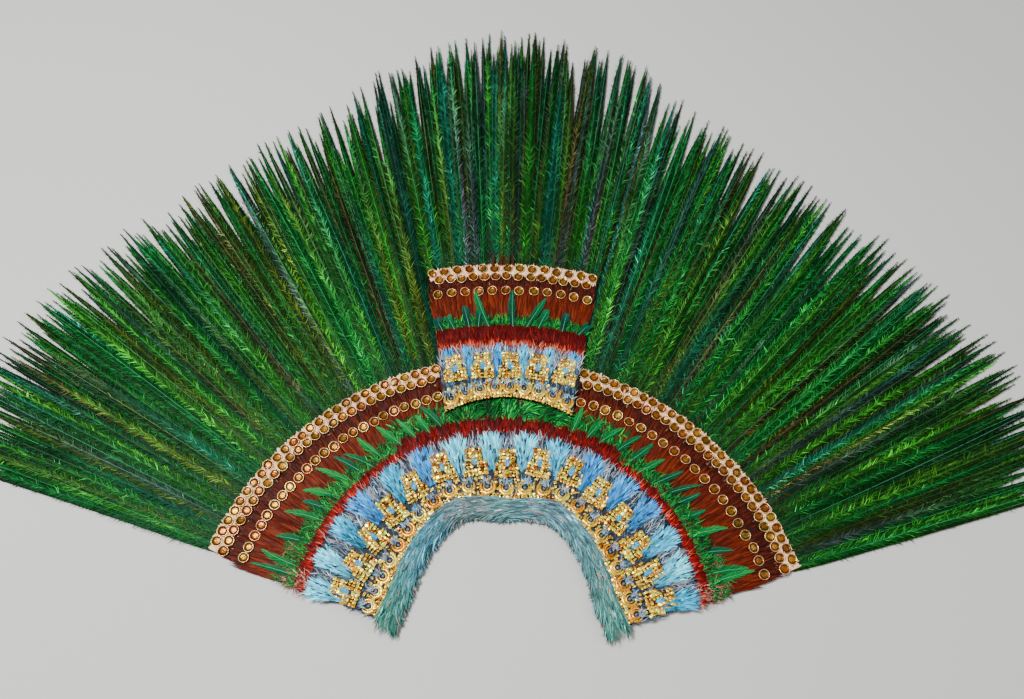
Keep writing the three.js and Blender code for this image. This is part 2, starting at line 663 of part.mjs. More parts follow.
// A blade with a flat underside and a ridge, through rows of radius, half-width as a share
// of the pitch, and height of its middle. It ends in a tip.
function blade(rows, bearingAt, pitch) {
  const ring = ({ radius, half, z }) => {
    const [left, right] = [-half, half].map((h) => polar(radius, bearingAt(radius) + h * pitch));
    const middle = polar(radius, bearingAt(radius));
    const under = z - PLUME_THICKNESS / 2;
    return [
      new THREE.Vector3(left.x, left.y, under),
      new THREE.Vector3(middle.x, middle.y, z + PLUME_THICKNESS / 2),
      new THREE.Vector3(right.x, right.y, under),
    ];
  };
  const rings = rows.slice(0, -1).map(ring);
  const tip = polar(rows.at(-1).radius, bearingAt(rows.at(-1).radius));
  rings.push([new THREE.Vector3(tip.x, tip.y, rows.at(-1).z)]);
  return loft(rings, [[0, 1, 2]]);
}

// The rows of a lower or an upper plume whose root lies in the strip that holds it.
function plumeRows(rootInner, rootOuter, z, reach, upper) {
  const root = { radius: lerp(rootInner, rootOuter, QUILL_START), half: QUILL_HALF, z };
  const rows = (upper ? UPPER_PLUME : LOWER_PLUME).map(({ share, half, sink, rise }) => ({
    radius: lerp(rootOuter, reach, share),
    half,
    z: upper ? z + PLUME_ARCH * rise : lerp(z, PLUME_TIP_HEIGHT, sink),
  }));
  return [root, ...rows];
}

// A bundle of plumes on the strip that their quills are tied to.
function plumeBundle(name, onRoot, rootSegments, rootInner, rootOuter, bearingOf, pitch, z, first) {
  const shares = steps(rootSegments, 0, 1);
  const strip = layer(
    shares.map((t) => onRoot(rootInner, t)),
    shares.map((t) => onRoot(rootOuter, t)),
    z,
    BAND_THICKNESS,
  );
  const middle = z + BAND_THICKNESS / 2;
  const blades = [];
  for (let i = 0; i < PLUMES_PER_BUNDLE; i++) {
    for (const [place, upper] of [[LAYER_START.lower, false], [LAYER_START.upper, true]]) {
      const share = (i + place) / PLUMES_PER_BUNDLE;
      const ragged = RAGGED[(first + 2 * i + (upper ? RAGGED.length / 2 : 0)) % RAGGED.length];
      const outline = reachAt(bearingOf(share, rootOuter));
      const reach = lerp(rootOuter, outline, ragged * (upper ? UPPER_REACH : 1));
      const rows = plumeRows(rootInner, rootOuter, middle, reach, upper);
      blades.push(blade(rows, (radius) => bearingOf(share, radius), pitch));
    }
  }
  piece(name, "plume", fuse([strip, ...blades]));
}

function plumes() {
  const rootInner = WING_BROWN + GAP;
  const bundleGap = GAP / (WING_RADIUS * radians(WING_END_BEARING - tongueSide(WING_RADIUS)));
  for (const { name, side } of SIDES) {
    for (let k = 0; k < WING_BUNDLES; k++) {
      const from = k / WING_BUNDLES + (k ? bundleGap : 0);
      const to = (k + 1) / WING_BUNDLES - (k + 1 < WING_BUNDLES ? bundleGap : 0);
      const bearingOf = (share, radius) =>
        side * wingBearing(Math.min(radius, WING_RADIUS), (k + share) / WING_BUNDLES);
      const pitch =
        (endBearing(WING_RADIUS) - tongueSide(WING_RADIUS)) / (WING_BUNDLES * PLUMES_PER_BUNDLE);
      plumeBundle(
        `plumes_${name}_${k + 1}`,
        (radius, t) => onWing(side, radius, lerp(from, to, t)),
        WING_SEGMENTS / WING_BUNDLES,
        rootInner,
        WING_RADIUS,
        bearingOf,
        pitch,
        BROWN_Z,
        k * PLUMES_PER_BUNDLE,
      );
    }
  }
  const tongueGap = GAP / (TONGUE_TOP * radians(tongueSide(TONGUE_TOP)));
  for (let k = 0; k < TONGUE_BUNDLES; k++) {
    const width = 2 / TONGUE_BUNDLES;
    const from = -1 + k * width + (k ? tongueGap : 0);
    const to = -1 + (k + 1) * width - (k + 1 < TONGUE_BUNDLES ? tongueGap : 0);
    plumeBundle(
      `plumes_tongue_${k + 1}`,
      (radius, t) => onTongue(radius, lerp(from, to, t)),
      TONGUE_SEGMENTS / TONGUE_BUNDLES,
      TONGUE_BROWN + GAP,
      TONGUE_TOP,
      (share, radius) => (-1 + (k + share) * width) * tongueSide(Math.min(radius, TONGUE_TOP)),
      (2 * tongueSide(TONGUE_TOP)) / (TONGUE_BUNDLES * PLUMES_PER_BUNDLE),
      BROWN_Z + TONGUE_RISE,
      k,
    );
  }
}

backings();
brownBands();
edgings();
discRows();
greenBands();
tongueGreenBand();
redBands();
blueBands();
plaques();
crescentRows();
trim();
plumes();

// The origin is the middle of the footprint, on the surface that the backing lies on.
const extent = new THREE.Box3().setFromObject(headdress);
const middle = extent.getCenter(new THREE.Vector3());
headdress.position.set(-middle.x, -middle.y, -extent.min.z);

export default headdress;
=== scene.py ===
import math

import bpy
import numpy as np
from mathutils import Matrix, Vector


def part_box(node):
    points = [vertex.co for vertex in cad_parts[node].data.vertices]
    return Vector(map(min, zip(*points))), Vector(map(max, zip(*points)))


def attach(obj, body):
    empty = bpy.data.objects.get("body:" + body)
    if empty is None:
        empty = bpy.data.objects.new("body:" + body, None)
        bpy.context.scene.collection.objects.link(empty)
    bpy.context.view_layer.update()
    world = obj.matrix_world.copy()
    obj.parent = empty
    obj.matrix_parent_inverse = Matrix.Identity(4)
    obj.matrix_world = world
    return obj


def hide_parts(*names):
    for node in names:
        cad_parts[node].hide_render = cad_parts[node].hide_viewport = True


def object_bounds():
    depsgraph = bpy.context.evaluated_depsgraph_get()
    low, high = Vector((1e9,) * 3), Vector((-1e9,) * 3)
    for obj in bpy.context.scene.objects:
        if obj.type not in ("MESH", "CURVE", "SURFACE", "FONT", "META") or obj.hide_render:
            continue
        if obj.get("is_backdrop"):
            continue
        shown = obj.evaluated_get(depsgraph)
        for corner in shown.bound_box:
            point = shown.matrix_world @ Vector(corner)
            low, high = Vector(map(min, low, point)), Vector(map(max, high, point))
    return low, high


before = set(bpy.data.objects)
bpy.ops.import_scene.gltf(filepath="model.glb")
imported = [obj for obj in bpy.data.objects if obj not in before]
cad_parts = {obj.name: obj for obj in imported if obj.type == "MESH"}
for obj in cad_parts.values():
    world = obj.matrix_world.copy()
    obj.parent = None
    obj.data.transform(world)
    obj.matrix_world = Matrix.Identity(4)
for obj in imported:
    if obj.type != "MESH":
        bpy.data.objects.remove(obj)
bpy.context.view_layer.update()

# Backings
# Netting of agave twine under the crescent, and a second one under the tongue. Everything
# else is tied or sewn to it, and its knots show on the back and at the edges.
TWINE_STOPS = [(0.02, (0.34, 0.22, 0.12, 1)), (0.22, (0.07, 0.04, 0.02, 1))]
TWINE_ROUGHNESS = 0.9
TWINE_RELIEF = {"strength": 0.8, "distance": -0.002}
MESHES_PER_METRE = 260


def setting(material, name):
    """One input of the material's surface."""
    return material.node_tree.nodes["Principled BSDF"].inputs[name]


def new_material(name, roughness):
    material = bpy.data.materials.new(name)
    material.use_nodes = True
    setting(material, "Roughness").default_value = roughness
    return material


def texture(material, kind, scale, **settings):
    """A texture in the object's own metres."""
    nodes = material.node_tree.nodes
    place = nodes.new("ShaderNodeTexCoord")
    node = nodes.new(kind)
    node.inputs["Scale"].default_value = scale
    for name, value in settings.items():
        if name in node.inputs:
            node.inputs[name].default_value = value
        else:
            setattr(node, name, value)
    material.node_tree.links.new(place.outputs["Object"], node.inputs["Vector"])
    return node


def ramp(material, source, stops):
    """Colours between the stops, chosen by the value of a texture."""
    node = material.node_tree.nodes.new("ShaderNodeValToRGB")
    while len(node.color_ramp.elements) < len(stops):
        node.color_ramp.elements.new(1)
    for element, (place, colour) in zip(node.color_ramp.elements, stops):
        element.position = place
        element.color = colour
    material.node_tree.links.new(source, node.inputs["Fac"])
    return node.outputs["Color"]


def relief(material, height, strength, distance):
    """Fine unevenness of the surface, from the value of a texture."""
    node = material.node_tree.nodes.new("ShaderNodeBump")
    node.inputs["Strength"].default_value = strength
    node.inputs["Distance"].default_value = distance
    material.node_tree.links.new(height, node.inputs["Height"])
    material.node_tree.links.new(node.outputs["Normal"], setting(material, "Normal"))


twine = new_material("agave_twine", TWINE_ROUGHNESS)
netting = texture(twine, "ShaderNodeTexVoronoi", MESHES_PER_METRE, feature="DISTANCE_TO_EDGE")
knots = netting.outputs["Distance"]
twine.node_tree.links.new(ramp(twine, knots, TWINE_STOPS), setting(twine, "Base Color"))
relief(twine, knots, **TWINE_RELIEF)
for name in ("backing_main", "backing_tongue"):
    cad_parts[name].data.materials.clear()
    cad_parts[name].data.materials.append(twine)

# Tail plumes
# Long quetzal tail feathers, several layers deep, with their quills tied to a strip behind
# the edging. Each has a thin shaft and loose barbs that sweep towards its tip.
WING_END = math.radians(73)  # bearing of the crescent's ends, at its outer arc
TONGUE_FOOT_HALF_WIDTH = 0.103
TONGUE_LENGTH = 0.27
FAN_RADIUS = 1.205
REACH = [
    {"bearing": 0, "reach": 1},
    {"bearing": 8, "reach": 0.973},
    {"bearing": 13, "reach": 0.946},
    {"bearing": 16, "reach": 0.909},
    {"bearing": 20, "reach": 0.88},
    {"bearing": 27, "reach": 0.855},
    {"bearing": 36, "reach": 0.832},
    {"bearing": 50, "reach": 0.828},
    {"bearing": 65, "reach": 0.825},
    {"bearing": 74, "reach": 0.787},
]
WING_BUNDLES = 4
TONGUE_BUNDLES = 2
PLUMES_PER_BUNDLE = 48
PLUMES_UNDER_TONGUE = 0.01  # radians that the wings' plumes reach in behind the tongue
PLUMES_BESIDE_TONGUE = 0.006  # radians that the tongue's plumes spread beyond its corners
PLUME_SCATTER = 0.2  # share of the pitch that a plume lies off its place
PLUME_SWAY = 0.0065
QUILL_LIFT = 0.0013  # from the backing to the quills
TUCKED_ROOT = 0.012  # length of each quill under the edging
TIP_LIFT = 0.0015  # from the floor to the lowest tips
CROWN_ROOM = 0.002  # between the highest plume and the top of its bundle
LONG_PLUMES = {"shortfall": 0.11, "power": 1.2}
SHORT_PLUMES = {"every": 3, "reaches": (0.8, 0.96)}
VANE_HALF_WIDTH = 0.0098
VANE_ROOT_SHARE = 0.7  # share of its full width that a vane starts with
VANE_SWELL = 4
VANE_TAPER = [{"share": 0.2, "power": 2}, {"share": 0.64, "power": 9}]
BARB_SPACING = 0.0027
BARB_HALF_WIDTH = 0.00062
BARB_STEPS = 2
BARB_ANGLE = math.radians(36)
BARB_ANGLE_LIMITS = (0.12, 1.3)
ANGLE_CLOSING = 0.3  # share that the angle closes by towards the tip
BARB_LENGTHS = (0.75, 1.2)  # shares of the vane's half width, along the barb
BARB_CROWDING = 0.8  # below 1, the barbs stand closer towards the tip
BARB_LEAN = 0.16
BARB_CURL = (-0.2, 0.9)
BARB_SAG = {"mean": -0.0006, "spread": 0.0008}
BARB_DROP = 0.0013  # the most that a barb may hang below its shaft
BARB_ARCH = 0.0005
BARB_ROLL = 0.5
CLUMP_BREAK = 0.75  # chance that a barb starts a new clump
CLUMP_LEAN = 0.3
# The web under the barbs fills the gaps between them, and its colour is darkened as painted shade between the
# barbs.
SHADED_WEB = {"width": 0.6, "drop": 0.0009, "shade": 0.25}
SHAFT_HALF_WIDTH = 0.0006
SHAFT_THINNING = 0.7
SHAFT_LIFT = 0.0006
SHAFT_STEPS = 9
SHAFT_SHADES = {"root": 0.3, "tip": 5.5}
SHAFT_COLOURS = [(0.01, 0.05, 0.02), (0.02, 0.1, 0.03), (0.03, 0.17, 0.07), (0.04, 0.05, 0.03)]
BARB_TIP_SHADE = 1.25
BARB_CONTRAST = 0.3
CLUMP_CONTRAST = 0.42
CLUMP_DIMMING = -0.17
SIDE_CONTRAST = 0.42
PATCH_CONTRAST = 0.45
PATCH_WAVES = (1.2, 3.4)  # lighter patches along one plume
PLUME_CONTRAST = 0.3
OUTER_DIMMING = 0.9
OUTER_COLOUR_SPAN = (0.7 / 3, 0.9)  # where a plume turns from its first colour to its outer one
# Painted shade: the lower a plume lies in its bundle, the darker it is made, for the shadow among the layers.
DEPTH_LIGHT = (0.36, 1.0)  # tone of the lowest plumes and of the highest
BORDER_LIGHT = np.array([1.15, 1.1, 0.85])  # tone of the wings' plumes beside the border
TOP_SPREAD = math.radians(26)  # bearing where the wings' colours have taken over
PLUME_COLOURS = [
    {"name": "emerald", "colour": (0.005, 0.08, 0.013), "top": 0.26, "wing": 0.38},
    {"name": "leaf", "colour": (0.013, 0.1, 0.006), "top": 0.12, "wing": 0.34},
    {"name": "teal", "colour": (0.004, 0.075, 0.045), "top": 0.26, "wing": 0.1},
    {"name": "moss", "colour": (0.026, 0.045, 0.004), "top": 0.1, "wing": 0.2},
    {"name": "slate", "colour": (0.024, 0.038, 0.042), "top": 0.22, "wing": 0.08},
    {"name": "umber", "colour": (0.032, 0.024, 0.009), "top": 0.12, "wing": 0.08},
    {"name": "violet", "colour": (0.03, 0.026, 0.042), "top": 0.07, "wing": 0.0},
]
QUILL_BEARINGS = [-0.052, -0.04, -0.03, -0.02, -0.008]
QUILLS_TOGETHER = 2
QUILL_COLOUR = (0.06, 0.01, 0.006)
QUILL_LENGTHS = (0.018, 0.032)
QUILL_HALF_WIDTH = 0.0007
QUILL_SEAT = {"tucked": 0.004, "sunk": 0.001}
QUILL_SCATTER = {"bearing": 0.006, "lean": 0.05, "roll": 0.2}
PLUME_ROUGHNESS = 0.42
PLUME_GRAIN = 900
PLUME_GLINT = (0.35, 1, 0.6, 1)
STREAK_STOPS = [(0.3, (0.7, 0.7, 0.7, 1)), (0.7, (1.3, 1.3, 1.3, 1))]
STREAK_DETAIL = 3.0
FEATHER_GLOSS = 0.09
FEATHER_RELIEF = {"strength": 0.3, "distance": 0.0006}
PLUME_SEED = 11

backing_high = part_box("backing_main")[1]
tongue_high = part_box("backing_tongue")[1]
wing_radius = backing_high[0] / math.sin(WING_END)
centre_y = backing_high[1] - wing_radius
tongue_top = tongue_high[1] - centre_y
tongue_foot = tongue_top - TONGUE_LENGTH


def mix(a, b, t):
    return a + (b - a) * t


def hump(t):
    """0 at both ends and 1 in the middle."""
    return 4 * t * (1 - t)


def column(table, name):
    return np.array([row[name] for row in table])


def uneven(rng, amount, shape=None, mean=0.0):
    """Factors round 1, for tones that differ from feather to feather."""
    return np.exp(rng.normal(mean, amount, shape))


def polar(radius, bearing, z=0.0):
    """Points at a radius and bearing from the centre of the crescent's arcs.

    Bearing 0 is the axis of the headdress, and bearings turn towards +X.
    """
    radius, bearing, z = np.broadcast_arrays(radius, bearing, z)
    x = radius * np.sin(bearing)
    y = centre_y + radius * np.cos(bearing)
    return np.stack([x, y, z], axis=-1).astype(float)


def tongue_side(radius):
    """Bearing of the tongue's side."""
    share = (radius - tongue_foot) / TONGUE_LENGTH
    return np.arcsin(mix(TONGUE_FOOT_HALF_WIDTH, tongue_high[0], share) / radius)


def barbs(root, heading, length, half_width, steps, bend=0.0, rise=0.0, arch=0.0, roll=0.0):
    """Flat tapering ribbons. Each starts at its root, runs along its heading and ends in a point."""
    count = len(root)
    t = np.linspace(0, 1, steps + 1)[None, :]
    each = lambda value: np.broadcast_to(np.asarray(value, float), (count,))[:, None]
    heading, length, bend = each(heading), each(length), each(bend)
    turn = heading + bend * t / 2
    line = np.empty((count, steps + 1, 3))
    line[..., 0] = root[:, None, 0] + length * t * np.sin(turn)
    line[..., 1] = root[:, None, 1] + length * t * np.cos(turn)
    line[..., 2] = root[:, None, 2] + each(rise) * t + each(arch) * hump(t)
    width = each(half_width) * (1 - t**2)
    side = np.empty_like(line)
    side[..., 0] = width * np.cos(heading + bend * t) * np.cos(each(roll))
    side[..., 1] = -width * np.sin(heading + bend * t) * np.cos(each(roll))
    side[..., 2] = width * np.sin(each(roll))
    return line, side


def ribbon_arrays(line, side, colour, tip_shade=1.0):
    """Vertices, faces as rows of four and of three indices, and a colour for each vertex."""
    count, rows = line.shape[:2]
    left, right = (line - side)[:, :-1], (line + side)[:, :-1]
    body = np.stack([left, right], axis=2).reshape(count, -1, 3)
    vertices = np.concatenate([body, line[:, -1:]], axis=1)
    stride = 2 * (rows - 1) + 1
    first = np.arange(count)[:, None] * stride
    k = np.arange(rows - 2)[None, :] * 2
    quads = np.stack([first + k, first + k + 1, first + k + 3, first + k + 2], axis=-1).reshape(-1, 4)
    last = first[:, 0] + stride - 3
    triangles = np.stack([last, last + 1, last + 2], axis=-1)
    shade = np.repeat(np.linspace(1, tip_shade, rows), 2)[:stride]
    colours = np.clip(colour[:, None, :] * shade[None, :, None], 0, 1)
    return vertices.reshape(-1, 3), quads, triangles, colours.reshape(-1, 3)


def strip(spine, across, half_width, lift, colour, tip_shade=1.0):
    """One ribbon along a line, such as a shaft."""
    line = (spine + [0, 0, lift])[None]
    side = (across * half_width[:, None])[None]
    return ribbon_arrays(line, side, np.array([colour]), tip_shade)


def make_piece(name, parts, material, replaced=()):
    """One mesh from several sets of arrays, riding on the headdress."""
    offsets = np.cumsum([0] + [len(part[0]) for part in parts])[:-1]
    vertices = np.concatenate([part[0] for part in parts])
    quads = np.concatenate([part[1] + offset for part, offset in zip(parts, offsets)])
    triangles = np.concatenate([part[2] + offset for part, offset in zip(parts, offsets)])
    colours = np.concatenate([part[3] for part in parts])
    loops = np.concatenate([quads.ravel(), triangles.ravel()]).astype(np.int32)
    sizes = np.concatenate([np.full(len(quads), 4), np.full(len(triangles), 3)]).astype(np.int32)
    starts = np.concatenate([[0], np.cumsum(sizes)[:-1]]).astype(np.int32)
    mesh = bpy.data.meshes.new(name)
    mesh.vertices.add(len(vertices))
    mesh.vertices.foreach_set("co", vertices.astype(np.float32).ravel())
    mesh.loops.add(len(loops))
    mesh.loops.foreach_set("vertex_index", loops)
    mesh.polygons.add(len(sizes))
    mesh.polygons.foreach_set("loop_start", starts)
    mesh.polygons.foreach_set("use_smooth", np.ones(len(sizes), bool))
    mesh.update(calc_edges=True)
    shade = mesh.attributes.new("shade", "FLOAT_COLOR", "POINT")
    shade.data.foreach_set("color", np.c_[colours, np.ones(len(colours))].astype(np.float32).ravel())
    mesh.materials.append(material)
    piece = bpy.data.objects.new(name, mesh)
    bpy.context.scene.collection.objects.link(piece)
    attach(piece, "root")
    if replaced:
        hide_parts(*replaced)


def tinted_material(name, roughness, gloss, grain, stops, strength, distance):
    """A surface in its mesh's own colours, broken up by a fine grain."""
    material = new_material(name, roughness)
    nodes, links = material.node_tree.nodes, material.node_tree.links
    shade = nodes.new("ShaderNodeAttribute")
    shade.attribute_name = "shade"
    noise = texture(material, "ShaderNodeTexNoise", grain, Detail=STREAK_DETAIL).outputs["Fac"]
    product = nodes.new("ShaderNodeMix")
    product.data_type = "RGBA"
    product.blend_type = "MULTIPLY"
    product.inputs["Factor"].default_value = 1
    links.new(shade.outputs["Color"], product.inputs["A"])
    links.new(ramp(material, noise, stops), product.inputs["B"])
    links.new(product.outputs["Result"], setting(material, "Base Color"))
    relief(material, noise, strength, distance)
    setting(material, "Specular IOR Level").default_value = gloss
    return material


def fan_reach(bearing):
    return FAN_RADIUS * np.interp(abs(bearing), np.radians(column(REACH, "bearing")), column(REACH, "reach"))


def pick_colour(rng, bearing):
    wing = min(1, abs(bearing) / TOP_SPREAD)
    shares = mix(column(PLUME_COLOURS, "top"), column(PLUME_COLOURS, "wing"), wing)
    return column(PLUME_COLOURS, "colour")[rng.choice(len(shares), p=shares / shares.sum())]


def vane_half_width(t):
    lost = sum(row["share"] * t ** row["power"] for row in VANE_TAPER)
    return VANE_HALF_WIDTH * np.minimum(1, VANE_ROOT_SHARE + t * VANE_SWELL) * (1 - lost)


def vane(rng, line, count, bearing, sway, side, colour_at):
    """The barbs on one side of a plume, in clumps that lean and shine alike."""
    t = ((np.arange(count) + rng.random(count)) / count) ** BARB_CROWDING
    clump = np.cumsum(rng.random(count) < CLUMP_BREAK)
    clumps = clump.max() + 1
    lean = rng.normal(0, CLUMP_LEAN, clumps)[clump] + rng.normal(0, BARB_LEAN, count)
    angle = np.clip(BARB_ANGLE * (1 - ANGLE_CLOSING * t) + lean, *BARB_ANGLE_LIMITS)
    bright = uneven(rng, CLUMP_CONTRAST, clumps, CLUMP_DIMMING)[clump] * uneven(rng, BARB_CONTRAST, count)
    heading = bearing + sway * t * 2 + side * angle
    length = vane_half_width(t) / math.sin(BARB_ANGLE) * mix(*BARB_LENGTHS, rng.random(count))
    ribbons = barbs(
        line(t), heading, length, BARB_HALF_WIDTH, BARB_STEPS,
        bend=-side * rng.uniform(*BARB_CURL, count),
        rise=np.maximum(rng.normal(BARB_SAG["mean"], BARB_SAG["spread"], count), -BARB_DROP),
        arch=BARB_ARCH,
        roll=rng.normal(0, BARB_ROLL, count),
    )
    return ribbon_arrays(*ribbons, colour_at(t) * bright[:, None], BARB_TIP_SHADE)


def plume(rng, root, reach, bearing, sway, root_z, tip_z, arch, colour, outer_colour):
    """One tail feather: the barbs of both sides, a web under them darkened as painted shade, and the shaft.
    """
    line = lambda t: polar(mix(root, reach, t), bearing + sway * t**2, mix(root_z, tip_z, t) + arch * hump(t))
    count = int((reach - root) / BARB_SPACING)
    waves = rng.uniform(*PATCH_WAVES)
    start = rng.uniform(0, 2 * math.pi)
    parts = []
    for side, side_light in zip((-1, 1), uneven(rng, SIDE_CONTRAST, 2)):

        def colour_at(t):
            patches = np.exp(PATCH_CONTRAST * np.sin(2 * math.pi * waves * t + start))
            outer = np.interp(t, OUTER_COLOUR_SPAN, (0, 1))
            return mix(colour, outer_colour, outer[:, None]) * (side_light * patches)[:, None]

        parts.append(vane(rng, line, count, bearing, sway, side, colour_at))
    t = np.linspace(0, 1, SHAFT_STEPS + 1)
    spine = line(t)
    tangent = np.gradient(spine, axis=0)
    across = np.stack([tangent[:, 1], -tangent[:, 0], np.zeros_like(t)], axis=-1)
    across /= np.linalg.norm(across, axis=1)[:, None]
    # the web, darkened as painted shade
    parts.append(strip(spine, across, vane_half_width(t) * SHADED_WEB["width"], -SHADED_WEB["drop"], colour * SHADED_WEB["shade"]))
    shaft_colour = np.array(SHAFT_COLOURS[rng.integers(len(SHAFT_COLOURS))]) * SHAFT_SHADES["root"]
    shaft_width = SHAFT_HALF_WIDTH * (1 - SHAFT_THINNING * t)
    parts.append(strip(spine, across, shaft_width, SHAFT_LIFT, shaft_colour, SHAFT_SHADES["tip"]))
    return parts


def bare_quills(rng, radius, z):
    """A few reddish-brown quills that stand up behind the middle of the tongue's edging."""
    count = len(QUILL_BEARINGS) * QUILLS_TOGETHER
    bearing = np.repeat(QUILL_BEARINGS, QUILLS_TOGETHER) + rng.normal(0, QUILL_SCATTER["bearing"], count)
    ribbons = barbs(
        polar(radius - QUILL_SEAT["tucked"], bearing, z - QUILL_SEAT["sunk"]),
        bearing + rng.normal(0, QUILL_SCATTER["lean"], count),
        mix(*QUILL_LENGTHS, rng.random(count)), QUILL_HALF_WIDTH, BARB_STEPS,
        roll=rng.normal(0, QUILL_SCATTER["roll"], count),
    )
    return ribbon_arrays(*ribbons, np.broadcast_to(QUILL_COLOUR, (count, 3)))


def reach_share(rng, i):
    """Share of the fan's radius that a plume reaches: every third one is short."""
    if i % SHORT_PLUMES["every"]:
        return 1 - LONG_PLUMES["shortfall"] * rng.random() ** LONG_PLUMES["power"]
    return mix(*SHORT_PLUMES["reaches"], rng.random())


def plume_bundle(rng, node, bearing_at, root):
    low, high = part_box(node)
    quill_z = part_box("backing_tongue" if "tongue" in node else "backing_main")[1][2] + QUILL_LIFT
    order = rng.permutation(PLUMES_PER_BUNDLE)
    parts = []
    for i in range(PLUMES_PER_BUNDLE):
        level = order[i] / (PLUMES_PER_BUNDLE - 1)
        bearing = bearing_at((i + 0.5 + rng.normal(0, PLUME_SCATTER)) / PLUMES_PER_BUNDLE)
        sway = rng.normal(0, PLUME_SWAY)
        reach = mix(root, fan_reach(bearing), reach_share(rng, i))
        # painted shade: plumes lower in the bundle are darker
        light = mix(*DEPTH_LIGHT, level) * uneven(rng, PLUME_CONTRAST)
        by_border = mix(1, BORDER_LIGHT, min(1, abs(bearing) / TOP_SPREAD))
        colour = pick_colour(rng, bearing) * light * by_border
        outer_colour = pick_colour(rng, bearing) * light * OUTER_DIMMING
        tip_z = mix(low[2] + TIP_LIFT, quill_z, level)
        arch = mix(0, high[2] - quill_z - CROWN_ROOM, level)
        parts += plume(
            rng, root - TUCKED_ROOT, reach, bearing, sway, quill_z, tip_z, arch, colour, outer_colour)
    if "tongue" in node:
        parts.append(bare_quills(rng, root, high[2]))
    make_piece("tail_" + node, parts, plume_barbs, [node])


plume_barbs = tinted_material(
    "plume_barbs", PLUME_ROUGHNESS, FEATHER_GLOSS, PLUME_GRAIN, STREAK_STOPS, **FEATHER_RELIEF)
setting(plume_barbs, "Specular Tint").default_value = PLUME_GLINT
rng = np.random.default_rng(PLUME_SEED)
for side, wing in ((-1, "left"), (1, "right")):
    start = tongue_side(wing_radius) - PLUMES_UNDER_TONGUE
    for k in range(WING_BUNDLES):
        bearing_at = lambda share: side * mix(start, WING_END, (k + share) / WING_BUNDLES)
        plume_bundle(rng, f"plumes_{wing}_{k + 1}", bearing_at, wing_radius)
for k in range(TONGUE_BUNDLES):
    span = tongue_side(tongue_top) + PLUMES_BESIDE_TONGUE
    bearing_at = lambda share: span * (2 * (k + share) / TONGUE_BUNDLES - 1)
    plume_bundle(rng, f"plumes_tongue_{k + 1}", bearing_at, tongue_top)

# Brown bands
# Smooth reddish-brown feathers, laid outwards in rows on the backing between the green band
# and the edging. They are darkest beside the edging.
END_FLARE = 0.26  # radians more for each metre nearer the centre
OPENING_RADIUS = 0.231
OPENING = [
    {"share": 0, "reach": 0.965},
    {"share": 0.26, "reach": 1},
    {"share": 0.44, "reach": 0.93},
    {"share": 0.62, "reach": 0.848},
    {"share": 0.83, "reach": 0.788},
    {"share": 1, "reach": 0.792},
]
SEWN_WIDTH = {"axis": 0.075, "end": 0.037}
BLUE_WIDTH = {"axis": 0.04, "end": 0.043}
RED_WIDTH = {"axis": 0.02, "end": 0.027}
GREEN_WIDTH = {"axis": 0.01, "end": 0.014}
EDGING_WIDTH = 0.036
TONGUE_GREEN = tongue_foot + 0.16
TONGUE_BROWN = tongue_foot + 0.23
WING_CLEARANCE = 0.004  # radians between a wing's bands and the tongue
BED_ENDS = (0.004, 0.996)
BED_SEGMENTS = 60
BED_SECTION = [
    {"across": 0, "height": 0.2},
    {"across": 0.02, "height": 0.75},
    {"across": 0.1, "height": 1},
    {"across": 0.5, "height": 1},
    {"across": 0.9, "height": 1},
    {"across": 0.98, "height": 0.75},
    {"across": 1, "height": 0.2},
    {"across": 0.9, "height": 0},
    {"across": 0.1, "height": 0},
]
FEATHER_STEPS = 3
FEATHER_LENGTHS = (0.7, 1.3)  # shares of the length that a layer gives
FEATHER_ARCH = 0.0012
FEATHER_ROLL = 0.3
BAND_ROUGHNESS = 0.55
BAND_GRAIN = 1400
BROWN_COLOURS = [(0.1, 0.01, 0.001), (0.075, 0.006, 0.001), (0.14, 0.017, 0.001), (0.05, 0.004, 0.001)]
BROWN_DARK = [(0.035, 0.004, 0.001), (0.02, 0.003, 0.001), (0.07, 0.007, 0.002)]
BROWN_LAYERS = [
    {"count": 1500, "colours": BROWN_COLOURS, "length": 0.038, "half_width": 0.0016, "above": -0.0002,
     "spread": 0.05, "curl": 0.1, "contrast": 0.12, "across": (0, 0.5)},
    {"count": 700, "colours": BROWN_DARK, "length": 0.02, "half_width": 0.0013, "above": 0.0004,
     "spread": 0.09, "lift": 0.0004, "across": (0.62, 0.9)},
    {"count": 90, "colours": BROWN_DARK, "length": 0.03, "half_width": 0.0005, "above": 0.001,
     "spread": 0.12, "curl": 0.3, "lift": 0.0004, "across": (0.1, 0.6)},
]
BROWN_SEED = 23


def width_at(width, share):
    return mix(width["axis"], width["end"], share**2)


def opening_edge(share):
    """Radius of the head opening's edge, on a smooth curve through its table."""
    places, reaches = column(OPENING, "share"), column(OPENING, "reach") * OPENING_RADIUS
    places = np.concatenate([[-places[1]], places, [2 - places[-2]]])
    reaches = np.concatenate([[reaches[1]], reaches, [reaches[-2]]])
    slopes = np.gradient(reaches, places)
    share = np.abs(np.asarray(share, float))
    i = np.clip(np.searchsorted(places, share) - 1, 0, len(places) - 2)
    step = places[i + 1] - places[i]
    t = (share - places[i]) / step
    through = (2 * t**3 - 3 * t**2 + 1) * reaches[i] + (3 * t**2 - 2 * t**3) * reaches[i + 1]
    return through + ((t**3 - 2 * t**2 + t) * slopes[i] + (t**3 - t**2) * slopes[i + 1]) * step


def blue_edge(share):
    return OPENING_RADIUS + width_at(SEWN_WIDTH, share) + width_at(BLUE_WIDTH, share)


def red_edge(share):
    return blue_edge(share) + width_at(RED_WIDTH, share)


def green_edge(share):
    return red_edge(share) + width_at(GREEN_WIDTH, share)


def end_bearing(radius):
    """Bearing of the crescent's ends, which flare towards the head opening."""
    return WING_END + (wing_radius - radius) * END_FLARE


